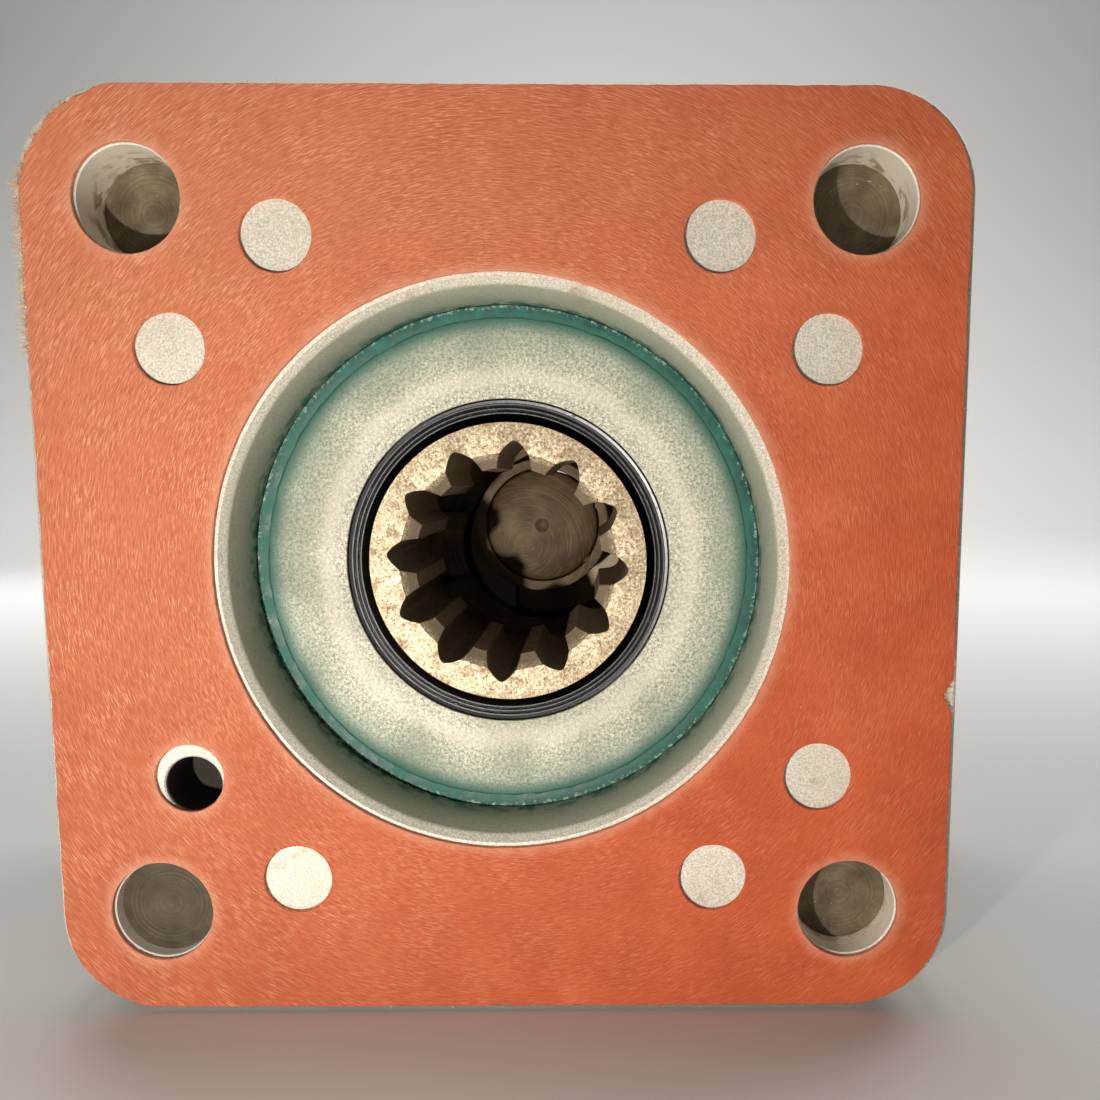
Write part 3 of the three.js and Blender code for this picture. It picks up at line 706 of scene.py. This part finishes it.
def rear_housing():
    front, back = REAR_FLANGE_FRONT, LENGTH
    blank = square_plate(2 * FLANGE_HALF, CORNER_RADIUS, front, back, 0.8)
    fillet = [
        (BARREL_RADIUS + FILLET * (1 - math.cos(a)), front - FILLET * (1 - math.sin(a)))
        for a in (i * TURN / 24 for i in range(7))
    ]
    barrel = turned(
        [(0, JOINT_BACK), (BARREL_RADIUS - 1, JOINT_BACK), (BARREL_RADIUS, JOINT_BACK + 1)] + fillet
        + [(BARREL_RADIUS + FILLET, front + 3), (0, front + 3)], 180)
    bore = turned(rounded([
        (0, JOINT_BACK - 1), (44, JOINT_BACK - 1), (44, 103), (REAR_OPENING_RADIUS, 103),
        (REAR_OPENING_RADIUS, 107), (38, 107),
        (38, back - 1), (40, back + 1), (0, back + 1),
    ], 0.35), 180)
    holes, counterbores = [], []
    for centre in BOLT_CENTRES.values():
        holes.append(bolt_hole(centre, front, back))
        counterbores.append(turned([
            (0, 99.5), (13, 99.5), (13, back - 0.5), (14.5, back + 1), (0, back + 1),
        ], SIDES_SMALL, centre))
    ribs = [rib(quarter, front + 1, front - 7) for quarter in range(4)]
    boss = upright([(0, 50), (10.5, 50), (10.5, 57.6), (9.5, 59), (9.2, 60), (0, 60)])
    tapping = upright([(0, 38), (5, 38), (5, 59.4), (5.8, 61), (0, 61)])
    return worked(blank, [barrel, *ribs, boss], [bore, *holes, *counterbores, tapping, *dowel_holes()])


def upright(outline, sides=SIDES_SMALL, node="grease_plug", right=0.0):
    """A solid turned about a node's upright line, from (radius, height above the axis) pairs."""
    depth = sum(depths(node)) / 2
    rings = []
    for side in range(sides):
        angle = side * TURN / sides
        reaches = [(r(angle) if callable(r) else r, up) for r, up in outline]
        rings.append([
            place(right + r * math.cos(angle), depth + r * math.sin(angle), up) for r, up in reaches
        ])
    return loft(rings)


piece("front_housing_casting", front_housing(), ALUMINIUM, "housing", "front_housing")
piece("rear_housing_casting", rear_housing(), ALUMINIUM, "housing", "rear_housing")

# ---- Flange gasket ----

def gasket_edge(right, up):
    """How far the gasket's edge is cut back at a place, in units."""
    spot = Vector((right, up, 0))
    wander = 0.12 * noise.noise(spot / 3) + 0.07 * noise.noise(spot / 0.9)
    torn = max(0.0, 1 - (Vector((right + 70, up - 69)).length / 11)) ** 0.5
    ragged = torn * (0.7 + 0.9 * noise.noise(spot / 2.1) + 0.35 * noise.noise(spot / 0.7))
    nick = 1.5 * math.exp(-(((right - 73) / 3) ** 2 + ((up + 21) / 1.7) ** 2))
    return wander + max(0.0, ragged) + nick


def edge_direction(points, i):
    """The way an outline runs at one of its points."""
    return (Vector(points[(i + 1) % len(points)]) - Vector(points[i - 1])).normalized()


def gasket_outline(inset):
    low, high = span("flange_gasket")
    ring = rectangle(high.x - low.x, high.z - low.z, CORNER_RADIUS, steps=48)
    dense = []
    for (x0, z0), (x1, z1) in zip(ring, ring[1:] + ring[:1]):
        steps = max(1, round(math.hypot(x1 - x0, z1 - z0) / 0.5))
        dense += [(x0 + (x1 - x0) * i / steps, z0 + (z1 - z0) * i / steps) for i in range(steps)]
    made = []
    for i, (right, up) in enumerate(dense):
        along = edge_direction(dense, i)
        inwards = Vector((-along.y, along.x)) * (inset + gasket_edge(right, up))
        made.append((right + inwards.x, up + inwards.y))
    return made


def ragged_hole(centre, radius, sides):
    """A cutter for a hole in the gasket, whose edge wanders a little."""
    def wavy(base):
        return lambda angle: base + 0.05 * noise.noise(
            Vector((math.cos(angle), math.sin(angle), centre[0] * 0.37)) * radius / 1.2)
    return turned([
        (0, -0.5), (wavy(radius + 0.35), -0.5), (wavy(radius + 0.16), 0.0), (wavy(radius + 0.03), 0.12),
        (wavy(radius), 0.3), (wavy(radius), 1.5), (0, 1.5),
    ], sides, centre)


def flange_gasket():
    thickness = span("flange_gasket")[1].y
    blank = stacked([
        [place(right, depth, up) for right, up in gasket_outline(inset)]
        for inset, depth in edge_stations(0, thickness, 0.15, 2)
    ])
    holes = [ragged_hole((0, 0), GASKET_BORE_RADIUS, 240)]
    holes += [ragged_hole(centre, GASKET_HOLE_RADIUS, 72) for centre in BOLT_CENTRES.values()]
    holes += [ragged_hole(centre, SMALL_HOLE_RADIUS, 60) for centre in SMALL_HOLES]
    return worked(blank, (), holes)


def hair(mesh, root, way, length, thickness, chance):
    """A fine tapering fibre that bends as it goes."""
    steps = 4
    spot, direction = Vector(root), Vector(way).normalized()
    rows = []
    for step in range(steps + 1):
        radius = thickness * (1 - 0.75 * step / steps) * UNIT
        across = direction.cross(Vector((0.31, 0.8, 0.5))).normalized()
        other = direction.cross(across)
        rows.append([
            mesh.verts.new(spot + (across * math.cos(a) + other * math.sin(a)) * radius)
            for a in (0, TURN / 3, 2 * TURN / 3)
        ])
        spot = spot + direction * (length * UNIT / steps)
        bend = Vector([chance.uniform(-0.55, 0.55) for _ in range(3)])
        direction = (direction + bend * 0.7).normalized()
    skin_and_ends(mesh, rows)


def torn_fibres():
    """Loose fibres along the gasket's torn left edge and corner, and a few elsewhere."""
    chance = random.Random(7)
    edge = gasket_outline(0.1)
    mesh = bmesh.new()
    for i, (right, up) in enumerate(edge):
        along = edge_direction(edge, i)
        out = Vector((along.y, -along.x))
        torn_left = right < -66 and 22 < up < 72
        heavy = torn_left and 34 < up < 62
        nicked = right > 70 and -26 < up < -15
        count = 9 if heavy else 4 if torn_left else 5 if nicked else (chance.random() < 0.12)
        for _ in range(int(count)):
            long = chance.uniform(0.5, 2.3) if heavy else chance.uniform(0.3, 1.1)
            lean = chance.uniform(-0.9, 0.9)
            way = Vector((out.x, chance.uniform(-0.35, 0.15), out.y))
            way += Vector((along.x, 0, along.y)) * lean
            root = place(right, chance.uniform(0.1, 0.8), up)
            hair(mesh, root, way, long, chance.uniform(0.035, 0.07), chance)
    bmesh.ops.recalc_face_normals(mesh, faces=mesh.faces)
    return mesh


piece("flange_gasket_sheet", flange_gasket(), FIBRE, "housing", "flange_gasket")
fuzz = piece("gasket_torn_fibres", torn_fibres(), TORN_FIBRE, "housing", None)
body_gasket = turned(band(45, 57.5, *depths("body_gasket"), 0.15))
piece("body_gasket_ring", worked(body_gasket, (), dowel_holes()), FIBRE, "housing", "body_gasket")

# ---- Shaft seal ----

def uneven(radius, amount, scale=1.0, seed=0.0):
    """A radius that wanders a little round the turn."""
    return lambda angle: radius + amount * noise.fractal(
        Vector((math.cos(angle), math.sin(angle), seed)) * scale, 1.0, 2.0, 4)


seal_outline = rounded([
    (27.8, SEAL_FRONT), (41.2, SEAL_FRONT), (42.95, 15.6), (42.95, SEAL_BACK), (41.6, SEAL_BACK),
    (41.6, 16.2), (40.6, 15.1), (27.8, 15.1),
], 0.35)
piece("seal_case_pressing", turned(seal_outline, 200), PLATED, "housing", "seal_case")
piece("seal_inner_cup", turned(rounded([
    (30, 15.4), (39.9, 15.4), (41.3, 16.6), (41.3, 22), (40.2, 22), (40.2, 17), (39.4, 16.4), (30, 16.4),
], 0.3)), PLATED, "housing", "seal_inner_case")
piece("seal_sealant_bead", turned([
    (uneven(41.2, 0.2, 20, 1.0), SEAL_FRONT - 0.01),
    (uneven(41.8, 0.1, 24, 2.0), SEAL_FRONT - 0.06),
    (uneven(42.5, 0.06, 24, 3.0), SEAL_FRONT - 0.1),
    (uneven(43.12, 0.02, 24, 4.0), SEAL_FRONT - 0.06),
    (43.15, SEAL_FRONT + 1.2),
    (42.7, SEAL_FRONT + 1.05),
    (41.75, SEAL_FRONT + 0.1),
], 360), SEALANT, "housing", "seal_sealant_band", 50)

lip_front = SEAL_FRONT + 0.05
ridges = []
for ridge in (25.35, 26.05, 26.8):
    ridges += [(ridge - 0.22, lip_front + 0.35), (ridge - 0.08, lip_front + 0.02), (ridge + 0.12, lip_front),
               (ridge + 0.26, lip_front + 0.3)]
piece("seal_lip_moulding", turned(ridges + [
    (27.5, lip_front + 0.2), (27.55, 16.7), (29.7, 16.7), (29.7, 17.7), (27.6, 18.2), (26.9, 20.9),
    (25, 21.6), (24.3, 20.4), (24.12, 19.6), (24.4, 18.8), (25, 17.8), (25.75, 16), (25.3, 14.9),
], 200), RUBBER, "housing", "seal_lip", 50)


def garter_spring():
    """A closely wound wire coil, bent round into a ring."""
    radius, wire, turns, steps = 28.3, 0.2, 150, 10
    coil = 0.8 - wire
    depth = sum(depths("garter_spring")) / 2
    rings = []
    for i in range(turns * steps):
        around = i * TURN / (turns * steps)
        wound = i * TURN / steps
        outward = Vector((math.cos(around), 0, math.sin(around)))
        middle = outward * (radius + coil * math.cos(wound)) + Vector((0, coil * math.sin(wound), 0))
        spoke = outward * math.cos(wound) + Vector((0, math.sin(wound), 0))
        side = Vector((-math.sin(around), 0, math.cos(around)))
        rings.append([
            place(*(middle + (spoke * math.cos(a) + side * math.sin(a)) * wire) + Vector((0, depth, 0)))
            for a in (j * TURN / 5 for j in range(5))
        ])
    return loft(rings)


piece("garter_spring_coil", garter_spring(), SPRING, "housing", "garter_spring", 60)

# ---- Bearings ----

BALL_RADIUS, PITCH_RADIUS, GROOVE_RADIUS, BALL_COUNT = 4.2, 32.5, 4.5, 8


def race(node, back_radius, land_radius):
    low, high = span(node)
    middle = (low.y + high.y) / 2
    side = math.copysign(1, land_radius - PITCH_RADIUS)
    half_angle = math.acos(abs(land_radius - PITCH_RADIUS) / GROOVE_RADIUS)
    groove = [
        (PITCH_RADIUS + side * GROOVE_RADIUS * math.cos(a), middle + GROOVE_RADIUS * math.sin(a))
        for a in (half_angle * (i / 8 - 1) for i in range(17))
    ]
    ends = rounded([(land_radius, high.y), (back_radius, high.y), (back_radius, low.y),
                    (land_radius, low.y)], 0.6)
    return turned(groove + ends)


def cage(node):
    middle = sum(depths(node)) / 2
    windows = []
    for i in range(BALL_COUNT):
        angle = i * TURN / BALL_COUNT
        ball = bmesh.new()
        centre = place(PITCH_RADIUS * math.cos(angle), middle, PITCH_RADIUS * math.sin(angle))
        bmesh.ops.create_icosphere(ball, subdivisions=3, radius=4.6 * UNIT, matrix=Matrix.Translation(centre))
        windows.append(ball)
    return worked(turned(band(31.2, 33.8, *depths(node), 0.4)), (), windows)


for row in ("front", "rear"):
    name = f"{row}_bearing"
    outer, inner = f"{name}_outer_race", f"{name}_inner_race"
    piece(f"{outer}_ring", race(outer, 40, 35.4), BEARING, "housing", outer)
    piece(f"{inner}_ring", race(inner, 25.2, 29.6), BEARING, "input_hub", inner)
    piece(f"{name}_cage_ring", cage(f"{name}_cage"), BRASS, f"{row}_ball_set", f"{name}_cage")
    for number in range(1, BALL_COUNT + 1):
        node = f"{name}_ball_{number}"
        low, high = (Vector(corner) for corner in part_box(node))
        ball = bmesh.new()
        bmesh.ops.create_icosphere(
            ball, subdivisions=4, radius=BALL_RADIUS * UNIT, matrix=Matrix.Translation((low + high) / 2))
        piece(f"{node}_ground", ball, BEARING, f"{row}_ball_set", node, 60)


def plain_ring(name, node, inner, outer, surface, body, edge=0.3):
    ring = turned(band(inner, outer, *depths(node), edge), centre=centre_of(node))
    piece(name, ring, surface, body, node)


plain_ring("outer_spacer_ring", "outer_spacer", 37.5, 39.9, BLACK, "housing")
plain_ring("inner_spacer_ring", "inner_spacer", 25.2, 28, BLACK, "input_hub")
plain_ring("shaft_collar_ring", "shaft_collar", SHAFT_RADIUS + 0.3, 14.5, BROWN, "driven_side", 0.4)


def retaining_ring(name, node, inner, outer, surface, body):
    front, back = depths(node)
    ring = turned(band(inner, outer, front, back, 0.25))
    gap = block((-4, front - 1, 0), (4, back + 1, outer + 2), 0)
    piece(name, worked(ring, (), [gap]), surface, body, node)


retaining_ring("housing_circlip", "housing_retaining_ring", 37.6, 42.2, SPRING, "housing")
retaining_ring("hub_circlip", "hub_retaining_ring", 23.65, 28, SPRING, "input_hub")

# ---- Driving hub ----

# The shape of one spline space: its radius at each share of the pitch away from its middle line.
SPACE = [(0.035, SPLINE_ROOT), (0.14, 19.9), (0.255, 18.65), (0.35, SPLINE_CREST)]


def spline_radius(angle):
    """The splined bore's radius at an angle: narrow crests, and spaces with a blunt root."""
    share = (angle - SPLINE_START) * SPLINE_TEETH / TURN
    off = abs(share - round(share))
    if off <= SPACE[0][0]:
        return SPLINE_ROOT
    for (near, outer), (far, inner) in zip(SPACE, SPACE[1:]):
        if off <= far:
            return outer + (inner - outer) * (off - near) / (far - near)
    return SPLINE_CREST


def splined(cone):
    """The bore's radius where a lead-in cone of that radius meets the spline."""
    return lambda angle: max(spline_radius(angle), cone)


def input_hub():
    front, back = HUB_FRONT, HUB_BACK
    lead = SPLINE_LEAD
    journal = HUB_BEARING_RADIUS
    outer = rounded([
        (23.8, front), (23.8, 23.9), (journal, 23.9), (journal, 24.3), (23.35, 24.3), (23.35, 26.3),
        (journal, 26.3), (journal, 63.5), (29, 63.5), (29, 66.5), (JAW_RADIUS, 66.5), (JAW_RADIUS, back),
        (HUB_RELIEF_RADIUS, back), (HUB_RELIEF_RADIUS, SPLINE_BACK),
    ], 0.35)
    cone_steps = 10
    lead_in = [
        (splined(SPLINE_CREST + lead * (i / cone_steps)), front + lead * (1 - i / cone_steps))
        for i in range(cone_steps + 1)
    ]
    mouth = SPLINE_CREST + lead
    face_edge = [(splined(mouth + 0.08), front + 0.02), (splined(mouth + 0.2), front)]
    outline = outer + [(splined(0), SPLINE_BACK), (splined(0), 30)] + lead_in + face_edge
    blank = turned(outline, SPLINE_TEETH * 40, start=SPLINE_START)
    slot = block((-40, back - 8, -SLOT_HALF), (40, back + 5, SLOT_HALF), 0.25)
    return worked(blank, (), [slot])


piece("input_hub_splined", input_hub(), TAN, "input_hub", "input_hub")

# ---- Floating disc and driven side ----

def block_about(centre, low, high, edge):
    """A box with its corners given from a centre line of its own."""
    shift = Vector((centre[0], 0, centre[1]))
    return block(tuple(Vector(low) + shift), tuple(Vector(high) + shift), edge)


def oldham_disc():
    low, high = span("oldham_disc")
    bore, half, reach = DISC_BORE_RADIUS, TONGUE_HALF, DISC_RADIUS + 1
    blank = turned(band(bore, DISC_RADIUS, 79, 87, 0.5), centre=DISC_CENTRE)
    front_tongue = block_about(DISC_CENTRE, (-reach, low.y, -half), (reach, 80, half), 0.5)
    back_tongue = block_about(DISC_CENTRE, (-half, 86, -reach), (half, high.y, reach), 0.5)
    beyond, hole = (
        turned([(inner, low.y - 2), (outer, low.y - 2), (outer, high.y + 2), (inner, high.y + 2)],
               centre=DISC_CENTRE)
        for inner, outer in ((DISC_RADIUS, 50), (0, bore))
    )
    return worked(blank, [front_tongue, back_tongue], [beyond, hole])


def driven_hub():
    low, high = span("driven_hub")
    bore = SHAFT_RADIUS + 0.3
    blank = turned(rounded([
        (bore, low.y), (DISC_RADIUS, low.y), (DISC_RADIUS, 101), (22, 101), (22, high.y), (bore, high.y),
    ], 0.6), centre=DRIVEN_CENTRE)
    slot = block_about(DRIVEN_CENTRE, (-SLOT_HALF, low.y - 5, -40), (SLOT_HALF, low.y + 8, 40), 0.25)
    keyway = block_about(DRIVEN_CENTRE, (5, low.y + 1, -KEYWAY_HALF), (14.8, high.y + 3, KEYWAY_HALF), 0.2)
    screw_hole = set_screw_solid(2.5, DRIVEN_CENTRE[1] + 9.7, DRIVEN_CENTRE[1] + 23)
    return worked(blank, (), [slot, keyway, screw_hole])


def set_screw_solid(radius, bottom, top):
    """A short upright cylinder where the set screw is."""
    outline = [(0, bottom), (radius - 0.2, bottom), (radius, bottom + 0.2), (radius, top - 0.2),
               (radius - 0.2, top), (0, top)]
    return upright(outline, 32, "hub_set_screw", DRIVEN_CENTRE[0])


def driven_shaft():
    front, back, radius = SHAFT_FRONT, SHAFT_BACK, SHAFT_RADIUS
    angles = [i * TURN / 64 for i in range(2, 17)]
    dome = [(radius * math.sin(a), front + 2.6 * (1 - math.cos(a))) for a in angles]
    outline = [(0, front + 1.0), (0.5, front + 0.9), (1.5, front + 0.06)] + dome + [
        (radius, back - 1), (radius - 1, back), (5, back), (4, back - 1), (4, back - 16), (0, back - 18),
    ]
    keyway = block_about(DRIVEN_CENTRE, (8.7, 96, -KEYWAY_HALF), (radius + 3, 106, KEYWAY_HALF), 0.2)
    return worked(turned(outline, 120, DRIVEN_CENTRE), (), [keyway])


piece("oldham_disc_crossed", oldham_disc(), BROWN, "center_disc", "oldham_disc")
piece("driven_hub_slotted", driven_hub(), TAN, "driven_side", "driven_hub")
piece("driven_shaft_domed", driven_shaft(), BROWN, "driven_side", "driven_shaft")
key_low, key_high = span("shaft_key")
piece("shaft_key_bar", block(tuple(key_low), tuple(key_high), 0.25), BLACK, "driven_side", "shaft_key")
screw_low, screw_high = span("hub_set_screw")
piece("hub_set_screw_turned", set_screw_solid(2.1, screw_low.z, screw_high.z), BLACK, "driven_side",
      "hub_set_screw")

# ---- Fasteners ----

def hexagon(across_corners, turn=0.0):
    """A hexagon's radius at an angle, from its radius to the corners."""
    def radius(angle):
        off = (angle - turn) % (TURN / 6) - TURN / 12
        return across_corners * math.cos(TURN / 12) / math.cos(off)
    return radius


def tie_bolt(node, centre):
    """A socket-head bolt with turned rings on its tip, simple thread rings and a hexagon socket."""
    tip, head_back = depths(node)
    head_front = head_back - 9.5
    rings = []
    for i in range(1, 14):
        out = i * 0.55
        rings += [(out - 0.16, tip + 0.02), (out + 0.05, tip)]
    thread = []
    for i in range(14):
        depth = 21 + i * 1.6
        thread += [(BOLT_RADIUS, depth), (BOLT_THREAD_ROOT, depth + 0.8)]
    shank = [(BOLT_TIP_RADIUS, tip + 0.1), (BOLT_TIP_RADIUS, tip + 1), (BOLT_RADIUS, tip + 1.3),
             (BOLT_RADIUS, 20.5)]
    head = rounded([
        (BOLT_RADIUS, head_front), (BOLT_HEAD_RADIUS, head_front), (BOLT_HEAD_RADIUS, head_back),
        (7, head_back)], 0.7)
    socket = [
        (hexagon(6.1), head_back), (hexagon(5.8), head_back - 0.4), (hexagon(5.8), head_back - 6),
        (0, head_back - 7),
    ]
    outline = [(0, tip + 0.02)] + rings[:-1] + shank + thread + [(BOLT_RADIUS, 45)] + head + socket
    return turned(outline, 96, centre)


# How far each corner's bolt is painted darker.
BOLT_DARKENING = {"bottom_left": 0.6, "bottom_right": 0.1}
for corner, centre in BOLT_CENTRES.items():
    node = f"tie_bolt_{corner}"
    surface = bolt_steel(centre, BOLT_DARKENING.get(corner, 0.0))
    piece(f"{node}_turned", tie_bolt(node, centre), surface, "housing", node)
    washer = f"bolt_washer_{corner}"
    ring = turned(band(8.3, 12.5, *depths(washer)), SIDES_SMALL, centre)
    piece(f"{washer}_ring", ring, SPRING, "housing", washer)

for side in ("left", "right"):
    node = f"dowel_pin_{side}"
    pin = turned(band(0, 3, *depths(node), 0.7), SIDES_SMALL, (centre_of(node)[0], 0))
    piece(f"{node}_ground", pin, BEARING, "housing", node)


def grease_plug():
    """A hexagon-headed plug with simple thread rings."""
    low, high = span("grease_plug")
    top, head_bottom = high.z, high.z - 4.9
    corners = hexagon(PLUG_CORNER_RADIUS)
    outline = [
        (0, top - 0.4), (3.0, top - 0.35), (3.5, top),
        (lambda angle: min(corners(angle), 7.4), top),
        (lambda angle: min(corners(angle), 7.75), top - 0.5),
        (corners, top - 1.1),
        (corners, head_bottom + 0.5),
        (lambda angle: min(corners(angle), 7.5), head_bottom),
    ]
    for i in range(9):
        height = head_bottom - 1.2 - i * 1.5
        outline += [(4.7, height), (4.15, height - 0.75)]
    return upright(outline + [(0, low.z)], 96)


piece("grease_plug_hex", grease_plug(), BRASS, "housing", "grease_plug")
washer_low, washer_high = span("plug_washer")
plug_washer = upright(band(5.2, 8.6, washer_low.z, washer_high.z, 0.4))
piece("plug_washer_ring", plug_washer, COPPER, "housing", "plug_washer")

# ---- Floor, light and camera ----

def studio_sweep():
    """A floor that curves up into a backdrop far behind the part."""
    half, front, back, radius, top = 1.8, -1.2, 1.5, 1.1, 2.0  # metres
    clear = 0.0002  # how far the floor lies under the part, so that their faces don't meet
    outline = [(front, 0.0)]
    outline += [
        (back - radius + radius * math.sin(a), radius * (1 - math.cos(a)))
        for a in (i * TURN / 48 for i in range(13))
    ]
    outline.append((back, top))
    mesh = bmesh.new()
    rows = [[mesh.verts.new((side * half, y, z - clear)) for y, z in outline] for side in (-1, 1)]
    for j in range(len(outline) - 1):
        mesh.faces.new((rows[0][j], rows[1][j], rows[1][j + 1], rows[0][j + 1]))
    data = mesh_data("studio_sweep", mesh)
    data.shade_smooth()
    floor = Surface("studio_floor", 0.0, 0.9)
    floor.base = tone(206, 204, 200)
    data.materials.append(floor.finished())
    sweep = added("studio_sweep", data)


def aimed(name, data, where, aim):
    """A lamp or a camera at one place that points at another."""
    where, aim = place(*where), place(*aim)
    thing = added(name, data)
    thing.location = where
    thing.rotation_mode = "QUATERNION"
    thing.rotation_quaternion = (aim - where).to_track_quat("-Z", "Y")
    return thing


def lamp(name, where, aim, size, power, colour=(1, 1, 1)):
    """A round area light, its place, aim and size in units and its power in watts."""
    light = bpy.data.lights.new(name, "AREA")
    light.shape, light.size, light.energy, light.color = "DISK", size * UNIT, power, colour
    aimed(name, light, where, aim)


def camera():
    data = bpy.data.cameras.new("camera")
    data.sensor_width, data.lens = 36, 38.06
    data.shift_x, data.shift_y = -0.0525, 0.0745
    data.clip_start, data.clip_end = 0.005, 20
    bpy.context.scene.camera = aimed("camera", data, (15.1, -186.8, 14.5), (17.0, 0, -10.3))


def world():
    made = bpy.data.worlds.new("studio")
    made.use_nodes = True
    background = made.node_tree.nodes["Background"]
    background.inputs["Color"].default_value = (1, 0.99, 0.97, 1)
    background.inputs["Strength"].default_value = 0.07
    bpy.context.scene.world = made


studio_sweep()
camera()
world()
middle = (0, LENGTH / 2, 0)
lamp("key", (-58, -206, -42), (0, 0, 0), 7, 0.108, (1.0, 0.95, 0.88))
lamp("front_fill", (420, -700, 420), middle, 400, 0.035)
lamp("left_fill", (-700, -100, 500), middle, 600, 0.04)
lamp("back_right", (600, 600, 600), middle, 600, 0.8)
lamp("back_left", (-500, 700, 450), middle, 600, 0.6)
lamp("backdrop", (0, 700, 1500), (0, 3000, 700), 1200, 9.0)
lamp("floor", (0, 600, 2000), (0, 800, -75), 1000, 3.0)
bpy.context.scene.view_settings.view_transform = "Standard"
